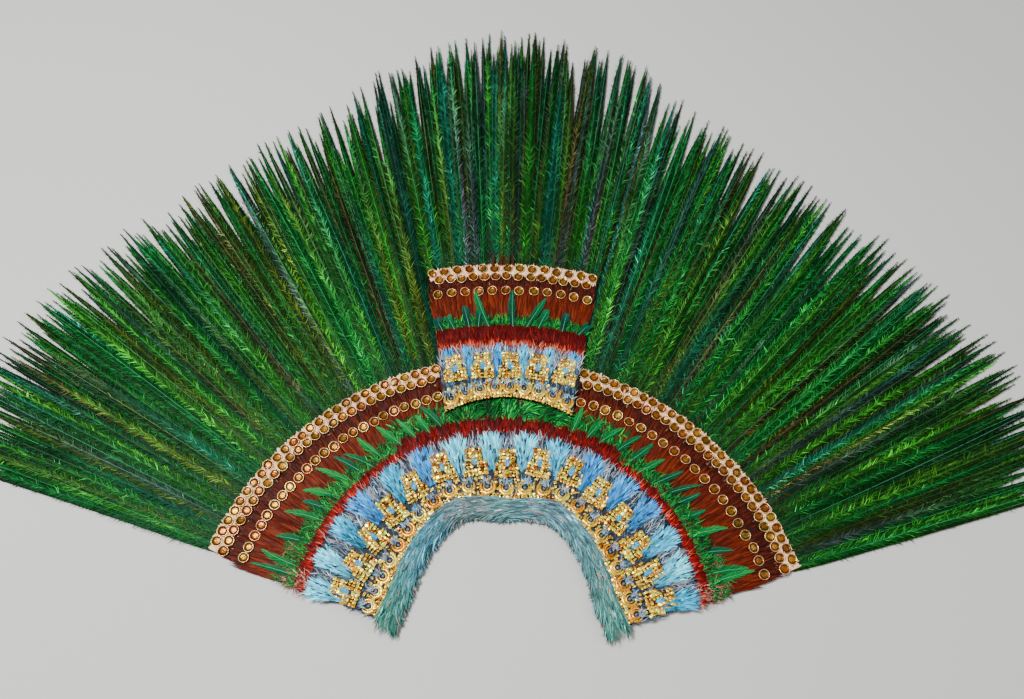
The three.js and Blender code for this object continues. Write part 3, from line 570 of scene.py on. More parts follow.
def wing_place(side, inner, outer):
    """Radius and bearing for two numbers from 0 to 1, along a wing and out from its inner edge."""

    def place(along, across):
        first = tongue_side(wing_radius) / WING_END
        radius = mix(inner(mix(first, 1, along)), outer, across)
        return radius, side * mix(tongue_side(radius) + WING_CLEARANCE, end_bearing(radius), along)

    return place


def tongue_place(inner, outer, arch=0.0):
    """The same for a band of the tongue, whose inner edge may be arched."""

    def place(along, across):
        share = 2 * along - 1
        radius = mix(inner + arch * (1 - share**2), outer, across)
        return radius, share * tongue_side(radius)

    return place


def loft(points, colours):
    """A closed skin through rows of rings, with each end ring filled from its middle."""
    rows, columns = points.shape[:2]
    i = np.arange(rows - 1)[:, None] * columns
    j = np.arange(columns)
    after = (j + 1) % columns
    quads = np.stack([i + j, i + after, i + columns + after, i + columns + j], axis=-1)
    first_middle, last_ring = rows * columns, (rows - 1) * columns
    low_fan = np.stack([np.full(columns, first_middle), after, j], axis=-1)
    high_fan = np.stack([np.full(columns, first_middle + 1), last_ring + j, last_ring + after], axis=-1)
    middles = np.stack([points[0].mean(axis=0), points[-1].mean(axis=0)])
    colours = np.broadcast_to(colours, points.shape).reshape(-1, 3)
    vertices = np.concatenate([points.reshape(-1, 3), middles])
    colours = np.concatenate([colours, colours[:1], colours[-1:]])
    return vertices, quads.reshape(-1, 4), np.concatenate([low_fan, high_fan]), colours


def bed(place, low_z, high_z, colour, segments=BED_SEGMENTS):
    """Padding under a band's feathers, with rounded edges."""
    along = np.linspace(*BED_ENDS, segments + 1)[:, None]
    radius, bearing = place(along, column(BED_SECTION, "across")[None, :])
    z = mix(low_z, high_z, column(BED_SECTION, "height"))[None, :]
    return loft(polar(radius, bearing, z), np.array(colour))


def laid_feathers(rng, place, z, count, colours, length, half_width, above=0.0, spread=0.1, lift=0.0012,
                  curl=0.2, droop=0.0, tip_shade=1.0, contrast=0.2, across=(0, 1), along=(0, 1)):
    """Small feathers strewn over a patch, all pointing more or less outwards."""
    radius, bearing = place(mix(*along, rng.random(count)), mix(*across, rng.random(count)))
    root = polar(radius, bearing, z + above + lift * rng.random(count))
    tone = np.array(colours)[rng.integers(len(colours), size=count)] * uneven(rng, contrast, count)[:, None]
    ribbons = barbs(
        root, bearing + rng.normal(0, spread, count), length * mix(*FEATHER_LENGTHS, rng.random(count)),
        half_width, FEATHER_STEPS,
        bend=rng.normal(0, curl, count),
        rise=-droop * rng.random(count),
        arch=FEATHER_ARCH * rng.random(count),
        roll=rng.normal(0, FEATHER_ROLL, count),
    )
    return ribbon_arrays(*ribbons, tone, tip_shade)


def brown_band(rng, wing, place):
    low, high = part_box("brown_band_" + wing)
    parts = [bed(place, low[2], high[2], BROWN_COLOURS[1])]
    parts += [laid_feathers(rng, place, high[2], **layer) for layer in BROWN_LAYERS]
    make_piece("brown_feathers_" + wing, parts, band_feathers, ["brown_band_" + wing])


band_feathers = tinted_material(
    "band_feathers", BAND_ROUGHNESS, FEATHER_GLOSS, BAND_GRAIN, STREAK_STOPS, **FEATHER_RELIEF)
rng = np.random.default_rng(BROWN_SEED)
for side, wing in ((-1, "left"), (1, "right")):
    brown_band(rng, wing, wing_place(side, green_edge, wing_radius - EDGING_WIDTH))
brown_band(rng, "tongue", tongue_place(TONGUE_GREEN, TONGUE_BROWN))

# Edging and its discs
# A torn pale strip of hide along the outer edge, with two rows of small gold discs sewn to
# it edge to edge. Each disc is beaten into a shallow bowl, and no two lie quite alike.
HIDE_COLOUR = (0.86, 0.58, 0.44)  # that the mesh carries, under the blotches
HIDE_STOPS = [(0.3, (0.3, 0.11, 0.05, 1)), (0.42, (0.78, 0.45, 0.26, 1)), (0.7, (0.92, 0.66, 0.42, 1))]
HIDE_BLOTCHES = {"scale": 120, "Detail": 6.0}
HIDE_RELIEF = {"strength": 0.6, "distance": 0.002}
HIDE_ROUGHNESS = 0.75
HIDE_WIDTH = 0.023
HIDE_TEAR = 0.0019
HIDE_WAVE = 0.0003
HIDE_ENDS = (0.002, 0.998)
HIDE_STEPS = 260
TORN_LINES = 4  # drawn for each strip, of which the section follows three
HIDE_SECTION = [
    {"across": 0, "height": 0.5, "line": 0, "torn": 1},
    {"across": 0.08, "height": 1, "line": 0, "torn": 1},
    {"across": 0.5, "height": 1, "line": 1, "torn": 0.2},
    {"across": 0.92, "height": 1, "line": 2, "torn": 1},
    {"across": 1, "height": 0.5, "line": 2, "torn": 1},
    {"across": 0.92, "height": 0, "line": 2, "torn": 1},
    {"across": 0.5, "height": 0, "line": 1, "torn": 0.2},
    {"across": 0.08, "height": 0, "line": 0, "torn": 1},
]
DARK_LAP = 0.004  # that the dark feathers reach in under the brown ones
DARK_LAYER = {"count": 700, "colours": BROWN_DARK, "length": 0.016, "half_width": 0.0012, "above": -0.0004,
              "spread": 0.15, "curl": 0.3}
DISC_RADIUS = 0.0086
DISC_SIDES = 18
# The shade column paints light and shade on the gold: pale highlights along the top of the rim, a painted
# shadow just inside it, and darker painted shade over the bowl.
DISC_SECTION = [
    {"radius": 0.15, "z": -0.0002, "shade": (0.4, 0.3, 0.2)},
    {"radius": 0.8, "z": 0.0004, "shade": (0.35, 0.2, 0.15)},
    {"radius": 1.0, "z": 0.0019, "shade": (0.8, 0.7, 1.0)},
    {"radius": 0.97, "z": 0.0026, "shade": (1.0, 1.15, 3.2)},
    {"radius": 0.88, "z": 0.0025, "shade": (1.0, 1.1, 2.6)},
    {"radius": 0.8, "z": 0.0014, "shade": (0.09, 0.05, 0.03)},
    {"radius": 0.56, "z": 0.0007, "shade": (0.16, 0.12, 0.07)},
    {"radius": 0.3, "z": 0.0006, "shade": (0.36, 0.3, 0.2)},
]
DISC_GOLD = (1.0, 0.5, 0.09)  # redder than the bricks and the half-moons
DISC_SCATTER = {"radius": 0.0007, "bearing": 0.0012, "tilt": 0.08, "stretch": 0.035}
DISC_TONES = {"bright": 0.22, "hue": 0.09}
DISC_LAP = 0.0004  # height of every second disc over its neighbours
DISC_SEAT = 0.0001
BORDER_INSETS = [{"inset": 0.0085, "phase": 0.0}, {"inset": 0.0245, "phase": 0.5}]
BORDER_PITCH = 0.0174
BORDER_MARGINS = {"tongue": 0.018, "end": 0.016}  # radians clear of the tongue and of the wing's end
TONGUE_PITCH = 0.0205
TONGUE_MARGIN = 0.0095
GOLD_ROUGHNESS = 0.26
GOLD_GLOSS = 0.2
GOLD_METALLIC = 0.6
GOLD_GRAIN = 420
GOLD_STOPS = [(0.34, (0.42, 0.3, 0.18, 1)), (0.58, (1, 1, 1, 1))]
GOLD_RELIEF = {"strength": 0.5, "distance": 0.0008}
EDGING_SEED = 31


def turned(section, radius, sides, colour):
    """A round thing about its own axis, from rows of radius, height and shade."""
    turn = np.linspace(0, 2 * math.pi, sides, endpoint=False)[None, :]
    across = column(section, "radius")[:, None] * radius
    z = column(section, "z")[:, None]
    points = np.stack(np.broadcast_arrays(across * np.cos(turn), across * np.sin(turn), z), axis=-1)
    shade = np.array([np.broadcast_to(row["shade"], 3) for row in section])[:, None, :]
    return loft(points, np.array(colour) * shade)


def copies(shape, places, frames, tones):
    """Copies of a shape, each in its own frame, with its own tone."""
    vertices, quads, triangles, colours = shape
    moved = np.einsum("nij,vj->nvi", frames, vertices) + places[:, None, :]
    first = np.arange(len(places))[:, None, None] * len(vertices)
    tinted = np.clip(colours[None] * tones[:, None, :], 0, 1)
    return (moved.reshape(-1, 3), (quads[None] + first).reshape(-1, 4),
            (triangles[None] + first).reshape(-1, 3), tinted.reshape(-1, 3))


def facing_frames(rng, bearing, tilt, stretch):
    """Frames whose second axis points outwards, each tilted and stretched a little at random."""
    count = len(bearing)
    frames = np.zeros((count, 3, 3))
    lean_x, lean_y = rng.normal(0, tilt, (2, count))
    across, out = 1 + rng.normal(0, stretch, (2, count))
    frames[:, 0, 0], frames[:, 1, 0] = np.cos(bearing) * across, -np.sin(bearing) * across
    frames[:, 0, 1], frames[:, 1, 1] = np.sin(bearing) * out, np.cos(bearing) * out
    frames[:, 2, 0], frames[:, 2, 1] = lean_x, lean_y
    frames[:, 2, 2] = 1
    return frames


def gold_discs(rng, radius, bearing, z):
    count = len(bearing)
    radius = radius + rng.normal(0, DISC_SCATTER["radius"], count)
    bearing = bearing + rng.normal(0, DISC_SCATTER["bearing"], count)
    shape = turned(DISC_SECTION, DISC_RADIUS, DISC_SIDES, DISC_GOLD)
    tones = uneven(rng, DISC_TONES["bright"], (count, 1)) * (1 + rng.normal(0, DISC_TONES["hue"], (count, 3)))
    places = polar(radius, bearing, z + DISC_LAP * (np.arange(count) % 2))
    frames = facing_frames(rng, bearing, DISC_SCATTER["tilt"], DISC_SCATTER["stretch"])
    return copies(shape, places, frames, tones)


def torn_strip(rng, place, z, thickness):
    """The strip of hide, with both long edges torn."""
    along = np.linspace(*HIDE_ENDS, HIDE_STEPS)[:, None]
    lines = rng.normal(0, HIDE_TEAR, (TORN_LINES, HIDE_STEPS))
    torn = lines[column(HIDE_SECTION, "line")].T * column(HIDE_SECTION, "torn")
    radius, bearing = place(along, column(HIDE_SECTION, "across")[None, :])
    wave = rng.normal(0, HIDE_WAVE, (HIDE_STEPS, 1))
    height = np.maximum(thickness * column(HIDE_SECTION, "height")[None, :] + wave, 0)
    return loft(polar(radius + torn, bearing, z + height), np.array(HIDE_COLOUR))


def edging(rng, name, place_in, radius, bearings_for):
    low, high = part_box("edging_" + name)
    hide_strip = torn_strip(rng, place_in(radius - HIDE_WIDTH, radius), low[2], high[2] - low[2])
    make_piece("hide_" + name, [hide_strip], hide, ["edging_" + name])
    under = place_in(radius - EDGING_WIDTH - DARK_LAP, radius - HIDE_WIDTH)
    dark = laid_feathers(rng, under, low[2], **DARK_LAYER)
    make_piece("dark_feathers_" + name, [dark], band_feathers)
    discs = []
    for row in BORDER_INSETS:
        at = radius - row["inset"]
        discs.append(gold_discs(rng, at, bearings_for(at, row["phase"]), high[2] + DISC_SEAT))
    make_piece("border_discs_" + name, discs, beaten_gold)


def wing_bearings(side):
    """Bearings of the discs along a wing, which start half a pitch later in the second row."""

    def bearings_for(radius, phase):
        start = tongue_side(radius) + BORDER_MARGINS["tongue"]
        end = end_bearing(radius) - BORDER_MARGINS["end"]
        count = int(round((end - start) * radius / BORDER_PITCH))
        return side * mix(start, end, (np.arange(count) + phase) / (count - 0.5))

    return bearings_for


def tongue_bearings(radius, phase):
    side = tongue_side(radius) - TONGUE_MARGIN
    count = int(round(2 * side * radius / TONGUE_PITCH))
    return mix(-side, side, (np.arange(count) + phase) / (count - 1 + 2 * phase))


hide = new_material("torn_hide", HIDE_ROUGHNESS)
blotches = texture(hide, "ShaderNodeTexNoise", **HIDE_BLOTCHES).outputs["Fac"]
hide.node_tree.links.new(ramp(hide, blotches, HIDE_STOPS), setting(hide, "Base Color"))
relief(hide, blotches, **HIDE_RELIEF)
beaten_gold = tinted_material(
    "beaten_gold", GOLD_ROUGHNESS, GOLD_GLOSS, GOLD_GRAIN, GOLD_STOPS, **GOLD_RELIEF)
setting(beaten_gold, "Metallic").default_value = GOLD_METALLIC
rng = np.random.default_rng(EDGING_SEED)
for side, wing in ((-1, "left"), (1, "right")):
    place_in = lambda inner, outer: wing_place(side, lambda share: inner, outer)
    edging(rng, wing, place_in, wing_radius, wing_bearings(side))
edging(rng, "tongue", tongue_place, tongue_top, tongue_bearings)

# Third rows of discs
# The same gold discs, sewn a finger's width apart over the brown feathers in one more row
# on each wing and on the tongue.
THIRD_ROWS = [
    {"name": "left", "count": 23, "radius": wing_radius - 0.058},
    {"name": "right", "count": 20, "radius": wing_radius - 0.058},
    {"name": "tongue", "count": 12, "radius": TONGUE_BROWN - 0.012},
]
THIRD_ROW_LIFT = 0.0014  # over the tips of the brown feathers
THIRD_ROW_MARGINS = {"wing": 0.025, "tongue": 0.017}  # radians clear of both ends of the row
THIRD_ROW_SEED = 37
rng = np.random.default_rng(THIRD_ROW_SEED)
for row in THIRD_ROWS:
    node = "disc_row_" + row["name"]
    radius = row["radius"]
    if row["name"] == "tongue":
        side = tongue_side(radius) - THIRD_ROW_MARGINS["tongue"]
        bearing = np.linspace(-side, side, row["count"])
    else:
        side = -1 if row["name"] == "left" else 1
        start = tongue_side(radius) + THIRD_ROW_MARGINS["wing"]
        bearing = side * np.linspace(start, end_bearing(radius) - THIRD_ROW_MARGINS["wing"], row["count"])
    discs = gold_discs(rng, radius, bearing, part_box(node)[0][2] + THIRD_ROW_LIFT)
    make_piece("gold_" + node, [discs], beaten_gold, [node])

# Green bands
# Short curly green feathers, with longer green ones standing out of them like lances. Each
# lance has a pale shaft and short barbs, and lies over the brown feathers.
TONGUE_RED = tongue_foot + 0.15
TONGUE_ARCH = 0.016
LANCES = [
    {"share": 0.242, "reach": 1},
    {"share": 0.297, "reach": 0.7},
    {"share": 0.345, "reach": 0.85},
    {"share": 0.4, "reach": 0.95},
    {"share": 0.475, "reach": 0.95},
    {"share": 0.53, "reach": 0.7},
    {"share": 0.58, "reach": 0.85},
    {"share": 0.632, "reach": 1},
    {"share": 0.68, "reach": 0.75},
    {"share": 0.73, "reach": 0.5},
    {"share": 0.785, "reach": 0.8},
    {"share": 0.85, "reach": 0.6},
    {"share": 0.92, "reach": 0.8},
    {"share": 0.955, "reach": 0.95},
]
LANCE_LEANS = [
    {"share": 0.2, "lean": 0.24},
    {"share": 0.45, "lean": 0.42},
    {"share": 0.65, "lean": 0.46},
    {"share": 0.8, "lean": 0.3},
    {"share": 1, "lean": -0.08},
]
TONGUE_LANCES = [
    {"share": -0.92, "reach": 0.12, "lean": -0.1},
    {"share": -0.76, "reach": 0.18, "lean": -0.3},
    {"share": -0.56, "reach": 0.5, "lean": -0.2},
    {"share": -0.44, "reach": 0.35, "lean": 0.1},
    {"share": -0.3, "reach": 1, "lean": -0.42},
    {"share": 0.02, "reach": 1, "lean": 0},
    {"share": 0.2, "reach": 0.8, "lean": 0.4},
    {"share": 0.36, "reach": 0.4, "lean": 0.35},
    {"share": 0.68, "reach": 0.38, "lean": 0.2},
    {"share": 0.9, "reach": 0.12, "lean": 0.5},
]
LANCE_REACH = 0.411
LANCE_ROOT = 0.009  # how far inside the red band's edge each lance starts
LANCE_LIFT = 0.0014
LANCE_DROP = 0.003
LANCE_SCATTER = 0.008
LANCE_SETBACK = 0.7  # share of its lean that a lance's root is set back by
TONGUE_LANCE = {"tip_inset": 0.012, "root": 0.003, "lift": 0.003, "drop": 0.001, "wide": 1.2}
TONGUE_LANCE_TINT = (0.8, 0.75, 1.2)
LANCE_HALF_WIDTH = 0.0078
LANCE_WIDTHS = (0.85, 1.15)
LANCE_BARBS = 95
LANCE_ANGLE = 0.38
LANCE_BARB = {"half_width": 0.0007, "least": 0.002, "fill": 0.95, "bend": 0.25, "rise": -0.0008, "roll": 0.3}
LANCE_UNEVEN = {"lean": 0.07, "sag": 0.06, "angle": 0.07, "roll": 0.2, "tone": 0.28}
LANCE_FORM = {"root": 0.5, "swell": 2, "taper": 1.7, "arch": 0.0016, "last_barb": 0.97}
LANCE_SHADES = (0.7, 1.3)  # at the root and at the tip
# Painted highlight: the barbs' tips along a lance's edges are made lighter.
LANCE_EDGE_HIGHLIGHT = 1.5
# The web under a lance's barbs is darkened as painted shade between the barbs.
SHADED_LANCE_WEB = {"width": 0.7, "drop": 0.0006, "shade": 0.4}
LANCE_SHAFT = {"half_width": 0.0005, "thinning": 0.6, "lift": 0.0005, "colour": (0.07, 0.3, 0.13)}
LANCE_STEPS = 7
GREEN_COLOURS = [(0.002, 0.07, 0.014), (0.004, 0.12, 0.02), (0.001, 0.022, 0.006), (0.008, 0.24, 0.024)]
LANCE_COLOURS = [(0.002, 0.11, 0.024), (0.002, 0.07, 0.024), (0.003, 0.14, 0.026), (0.002, 0.055, 0.025)]
FADED_COLOURS = [(0.03, 0.12, 0.03), (0.08, 0.06, 0.02), (0.12, 0.05, 0.02), (0.01, 0.12, 0.03)]
FLUFF = {"colours": GREEN_COLOURS, "length": 0.009, "half_width": 0.0007, "spread": 0.7, "lift": 0.0022,
         "curl": 0.8, "contrast": 0.35, "across": (-0.1, 0.9)}
LONG_FLUFF = {"colours": GREEN_COLOURS, "length": 0.014, "half_width": 0.0007, "above": 0.001, "spread": 0.35,
              "lift": 0.002, "curl": 0.5, "contrast": 0.35, "across": (0.2, 1.1)}
LONG_FLUFF_PART = 3  # one long feather for each so many short ones
FLUFF_COUNTS = {"band": 1900, "over_red": 900, "tongue": 900}
FLUFF_OVER_RED = 0.011
CURLS_SHARE = 0.4  # share of the green band that lies under the tongue's foot, in curls
UNDER_TONGUE_LAYER = {
    "count": 700, "colours": GREEN_COLOURS, "length": 0.016, "half_width": 0.0012, "above": -0.001,
    "spread": 0.8, "curl": 0.8, "contrast": 0.4, "across": (0, 0.85),
    "along": (0.5 - CURLS_SHARE / 2, 0.5 + CURLS_SHARE / 2)}
FADED_LAYER = {"count": 260, "colours": FADED_COLOURS, "length": 0.014, "half_width": 0.0006, "spread": 0.9,
               "lift": 0.003, "curl": 0.9, "contrast": 0.4, "across": (-0.2, 1.6)}
FADED_ENDS = [{"side": -1, "along": (0.0, 0.07)}, {"side": 1, "along": (0.93, 1.0)}]
CURLS = [
    {"share": -0.17, "turn": -0.3, "bright": 0.5},
    {"share": -0.115, "turn": 0.5, "bright": 0.7},
    {"share": -0.06, "turn": 0.4, "bright": 0.6},
    {"share": 0.0, "turn": 0.1, "bright": 1.5},
    {"share": 0.055, "turn": 0.8, "bright": 1.4},
    {"share": 0.115, "turn": 0.5, "bright": 0.55},
    {"share": 0.165, "turn": 0.7, "bright": 0.9},
]
CURL = {"count": 150, "scatter": 0.012, "reach": 0.6, "power": 1.1, "tucked": 0.006, "heap": 0.0035,
        "lean": 0.3, "lengths": (0.013, 0.025), "half_width": 0.0011, "steps": 4, "bend": 2.4, "arch": 0.002,
        "roll": 0.4, "contrast": 0.35}
LONG_BED_SEGMENTS = 90
TONGUE_BED_SEGMENTS = 40
GREEN_SEED = 41


def arc_place(inner, outer):
    """Radius and bearing for two numbers from 0 to 1, along the whole crescent and out."""

    def place(along, across):
        share = 2 * along - 1
        radius = mix(inner(share), outer(share), across)
        return radius, share * end_bearing(mix(inner(1), outer(1), across))

    return place


def lance(rng, root_radius, tip_radius, bearing, half_width, z, drop, lean, colour):
    """One lance: barbs on both sides of a pale shaft, widest below its middle."""
    length = tip_radius - root_radius
    lean = lean + rng.normal(0, LANCE_UNEVEN["lean"])
    sag = rng.normal(0, LANCE_UNEVEN["sag"])

    def width(t):
        swell = np.minimum(1, LANCE_FORM["root"] + LANCE_FORM["swell"] * t)
        return half_width * swell * (1 - t ** LANCE_FORM["taper"])

    def centre_line(t):
        turn = (lean * t + sag * t**2) * length / root_radius
        return polar(root_radius + length * t, bearing + turn, z - drop * t + LANCE_FORM["arch"] * hump(t))

    parts = []
    for side in (-1, 1):
        t = np.sort(rng.random(LANCE_BARBS)) * LANCE_FORM["last_barb"]
        angle = LANCE_ANGLE + rng.normal(0, LANCE_UNEVEN["angle"], LANCE_BARBS)
        bright = uneven(rng, LANCE_UNEVEN["tone"], LANCE_BARBS) * mix(*LANCE_SHADES, t)
        ribbons = barbs(
            centre_line(t), bearing + lean + side * angle,
            width(t) / math.sin(LANCE_ANGLE) * LANCE_BARB["fill"] + LANCE_BARB["least"],
            LANCE_BARB["half_width"], BARB_STEPS, bend=-side * LANCE_BARB["bend"], rise=LANCE_BARB["rise"],
            roll=side * LANCE_BARB["roll"] + rng.normal(0, LANCE_UNEVEN["roll"], LANCE_BARBS),
        )
        # barb tips lightened as a painted highlight along the lance's edges
        parts.append(ribbon_arrays(*ribbons, colour * bright[:, None], LANCE_EDGE_HIGHLIGHT))
    t = np.linspace(0, 1, LANCE_STEPS)
    spine = centre_line(t)
    across = np.broadcast_to([math.cos(bearing), -math.sin(bearing), 0], spine.shape)
    # the web, darkened as painted shade
    web_width = width(t) * SHADED_LANCE_WEB["width"]
    parts.append(strip(spine, across, web_width, -SHADED_LANCE_WEB["drop"], colour * SHADED_LANCE_WEB["shade"]))
    shaft_width = LANCE_SHAFT["half_width"] * (1 - LANCE_SHAFT["thinning"] * t)
    parts.append(strip(spine, across, shaft_width, LANCE_SHAFT["lift"], LANCE_SHAFT["colour"]))
    return parts


def green_fluff(rng, place, z, count):
    short = laid_feathers(rng, place, z, count, **FLUFF)
    return [short, laid_feathers(rng, place, z, count // LONG_FLUFF_PART, **LONG_FLUFF)]


def wing_lance(rng, side, row, z):
    """One lance of a wing, which leans towards the wing's end and starts a little behind."""
    start = red_edge(row["share"]) - LANCE_ROOT
    tip = mix(green_edge(row["share"]), LANCE_REACH, row["reach"])
    lean = np.interp(row["share"], column(LANCE_LEANS, "share"), column(LANCE_LEANS, "lean"))
    tip_bearing = row["share"] * end_bearing(start) + rng.normal(0, LANCE_SCATTER)
    bearing = side * (tip_bearing - math.tan(lean) * (tip - start) / tip * LANCE_SETBACK)
    colour = np.array(LANCE_COLOURS[rng.integers(len(LANCE_COLOURS))])
    half_width = LANCE_HALF_WIDTH * rng.uniform(*LANCE_WIDTHS)
    return lance(rng, start, tip, bearing, half_width, z, LANCE_DROP, side * lean, colour)


def curl_of_feathers(rng, row, z):
    """A heap of long feathers that curl to one side under the tongue's foot."""
    count = CURL["count"]
    bearing = row["share"] * WING_END + rng.normal(0, CURL["scatter"], count)
    outer = tongue_foot + TONGUE_ARCH * CURL["reach"]
    radius = mix(red_edge(0), outer, rng.random(count) ** CURL["power"]) - CURL["tucked"]
    root = polar(radius, bearing, z + CURL["heap"] * rng.random(count))
    tone = np.array(GREEN_COLOURS)[rng.integers(len(GREEN_COLOURS), size=count)] * row["bright"]
    ribbons = barbs(
        root, bearing + row["turn"] + rng.normal(0, CURL["lean"], count),
        mix(*CURL["lengths"], rng.random(count)), CURL["half_width"], CURL["steps"],
        bend=row["turn"] * CURL["bend"] * rng.random(count),
        arch=CURL["arch"], roll=rng.normal(0, CURL["roll"], count),
    )
    return ribbon_arrays(*ribbons, tone * uneven(rng, CURL["contrast"], (count, 1)))


rng = np.random.default_rng(GREEN_SEED)
low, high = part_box("green_band")
red_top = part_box("red_band")[1][2]
place = arc_place(red_edge, green_edge)
parts = [bed(place, low[2], high[2], GREEN_COLOURS[2], LONG_BED_SEGMENTS)]
parts += green_fluff(rng, place, high[2], FLUFF_COUNTS["band"])
over_red = arc_place(lambda share: red_edge(share) - FLUFF_OVER_RED, red_edge)
for side in (-1, 1):
    beside_tongue = lambda along, across: over_red(0.5 + side * mix(CURLS_SHARE / 2, 0.5, along), across)
    parts += green_fluff(rng, beside_tongue, red_top, FLUFF_COUNTS["over_red"])
under_tongue = arc_place(red_edge, lambda share: tongue_foot + TONGUE_ARCH)
parts.append(laid_feathers(rng, under_tongue, high[2], **UNDER_TONGUE_LAYER))
for end in FADED_ENDS:
    for row in LANCES:
        parts += wing_lance(rng, end["side"], row, red_top + LANCE_LIFT)
    parts.append(laid_feathers(rng, place, high[2], along=end["along"], **FADED_LAYER))
parts += [curl_of_feathers(rng, row, high[2]) for row in CURLS]
make_piece("green_feathers", parts, band_feathers, ["green_band"])

low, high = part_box("green_band_tongue")
place = tongue_place(TONGUE_RED, TONGUE_GREEN)
parts = [bed(place, low[2], high[2], GREEN_COLOURS[2], TONGUE_BED_SEGMENTS)]
parts += green_fluff(rng, place, high[2], FLUFF_COUNTS["tongue"])
for row in TONGUE_LANCES:
    tip = mix(TONGUE_GREEN, TONGUE_BROWN - TONGUE_LANCE["tip_inset"], row["reach"])
    bearing = row["share"] * tongue_side(TONGUE_GREEN)
    colour = np.array(LANCE_COLOURS[rng.integers(len(LANCE_COLOURS))]) * TONGUE_LANCE_TINT
    half_width = LANCE_HALF_WIDTH * TONGUE_LANCE["wide"]
    z = high[2] + TONGUE_LANCE["lift"]
    parts += lance(rng, TONGUE_RED - TONGUE_LANCE["root"], tip, bearing, half_width, z,
                   TONGUE_LANCE["drop"], row["lean"], colour)
make_piece("green_feathers_tongue", parts, band_feathers, ["green_band_tongue"])

# Red bands
# Scarlet feathers that darken to maroon at their tips, in two rows. A few loose orange barbs
# stand up where the blue feathers start, and both ends of the crescent's band are frayed.
TONGUE_BLUE = tongue_foot + 0.108
RED_COLOURS = [(0.2, 0.002, 0.001), (0.1, 0.001, 0.001), (0.42, 0.006, 0.002)]
MAROON_COLOURS = [(0.07, 0.001, 0.001), (0.035, 0.001, 0.001), (0.12, 0.003, 0.002)]
WISP_COLOURS = [(0.85, 0.16, 0.06), (0.75, 0.08, 0.03), (0.8, 0.3, 0.18)]
FRAYED_COLOURS = [(0.4, 0.16, 0.12), (0.25, 0.08, 0.05), (0.5, 0.26, 0.2), (0.1, 0.03, 0.02)]
MAROON_LAYER = {"colours": MAROON_COLOURS, "length": 0.018, "half_width": 0.0011, "spread": 0.12,
                "across": (0.25, 0.6)}
RED_LAYER = {"colours": RED_COLOURS, "length": 0.013, "half_width": 0.0009, "above": 0.0006, "spread": 0.14,
             "tip_shade": 0.1, "contrast": 0.5, "across": (-0.2, 0.22)}
WISP_LAYER = {"colours": WISP_COLOURS, "length": 0.012, "half_width": 0.0004, "above": 0.0014, "spread": 0.25,
              "tip_shade": 0.5, "across": (-0.1, 0.12)}
MIDDLE_LAYER = {"count": 900, "colours": MAROON_COLOURS + RED_COLOURS[:1], "length": 0.016,
                "half_width": 0.0012, "above": 0.0018, "spread": 0.2, "tip_shade": 0.6,
                "across": (-0.3, 0.6), "along": (0.3, 0.7)}
FRAYED_LAYER = {"count": 240, "colours": FRAYED_COLOURS, "length": 0.014, "half_width": 0.0006,
                "above": -0.001, "spread": 1.2, "lift": 0.003, "curl": 0.8, "contrast": 0.4,
                "across": (-0.5, 1.1)}
FRAYED_ENDS = [(0, 0.03), (0.97, 1)]
RED_COUNTS = {"crescent": 2600, "tongue": 1000}
WISP_COUNTS = {"crescent": 120, "tongue": 260}
RED_BED_SEGMENTS = 80
RED_SEED = 43


def red_band(rng, place, node, count, wisps):
    """The bed of one red band, and its three layers of feathers."""
    low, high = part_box(node)
    return [
        bed(place, low[2], high[2], MAROON_COLOURS[0], RED_BED_SEGMENTS),
        laid_feathers(rng, place, high[2], count, **MAROON_LAYER),
        laid_feathers(rng, place, high[2], count, **RED_LAYER),
        laid_feathers(rng, place, high[2], wisps, **WISP_LAYER),
    ]


rng = np.random.default_rng(RED_SEED)
place = arc_place(blue_edge, red_edge)
parts = red_band(rng, place, "red_band", RED_COUNTS["crescent"], WISP_COUNTS["crescent"])
parts.append(laid_feathers(rng, place, red_top, **MIDDLE_LAYER))
parts += [laid_feathers(rng, place, red_top, along=ends, **FRAYED_LAYER) for ends in FRAYED_ENDS]
make_piece("red_feathers", parts, band_feathers, ["red_band"])
place = tongue_place(TONGUE_BLUE, TONGUE_RED)
parts = red_band(rng, place, "red_band_tongue", RED_COUNTS["tongue"], WISP_COUNTS["tongue"])
make_piece("red_feathers_tongue", parts, band_feathers, ["red_band_tongue"])

# Blue bands
# Slate-blue feathers sewn flat under the gold. Between the plaques, broad pale-blue tufts
# stand out over the red, each made of a few overlapping feathers with ragged tips.
PLAQUE_COUNT = 15
TONGUE_PLAQUE_COUNT = 5
# The slate feathers are kept dark: partly their own colour, and partly painted shade in the gaps between the
# tufts and plaques.
SLATE_COLOURS = [(0.04, 0.07, 0.11), (0.015, 0.022, 0.035), (0.1, 0.14, 0.19), (0.05, 0.1, 0.14)]
GREY_COLOURS = [(0.15, 0.2, 0.26), (0.26, 0.32, 0.37), (0.06, 0.09, 0.12), (0.22, 0.18, 0.17)]
PALE_BLUES = [(0.04, 0.32, 0.5), (0.025, 0.19, 0.46), (0.075, 0.44, 0.6), (0.015, 0.25, 0.4)]
TONGUE_BLUES = [(0.015, 0.22, 0.46), (0.03, 0.3, 0.5), (0.01, 0.16, 0.38)]
SLATE_LAYER = {"colours": SLATE_COLOURS, "length": 0.013, "half_width": 0.001, "above": -0.0002,
               "spread": 0.35, "curl": 0.5, "contrast": 0.4, "across": (0, 0.92)}
GREY_LAYER = {"colours": GREY_COLOURS, "length": 0.016, "half_width": 0.0008, "above": 0.0006, "spread": 0.3,
              "curl": 0.4, "contrast": 0.35, "across": (0.66, 0.92), "tip_shade": 1.5}
CRESCENT_BLUE = {"plaques": PLAQUE_COUNT, "feathers": 2600, "blues": PALE_BLUES,
                 "half_width": 0.0165, "sink": 0}
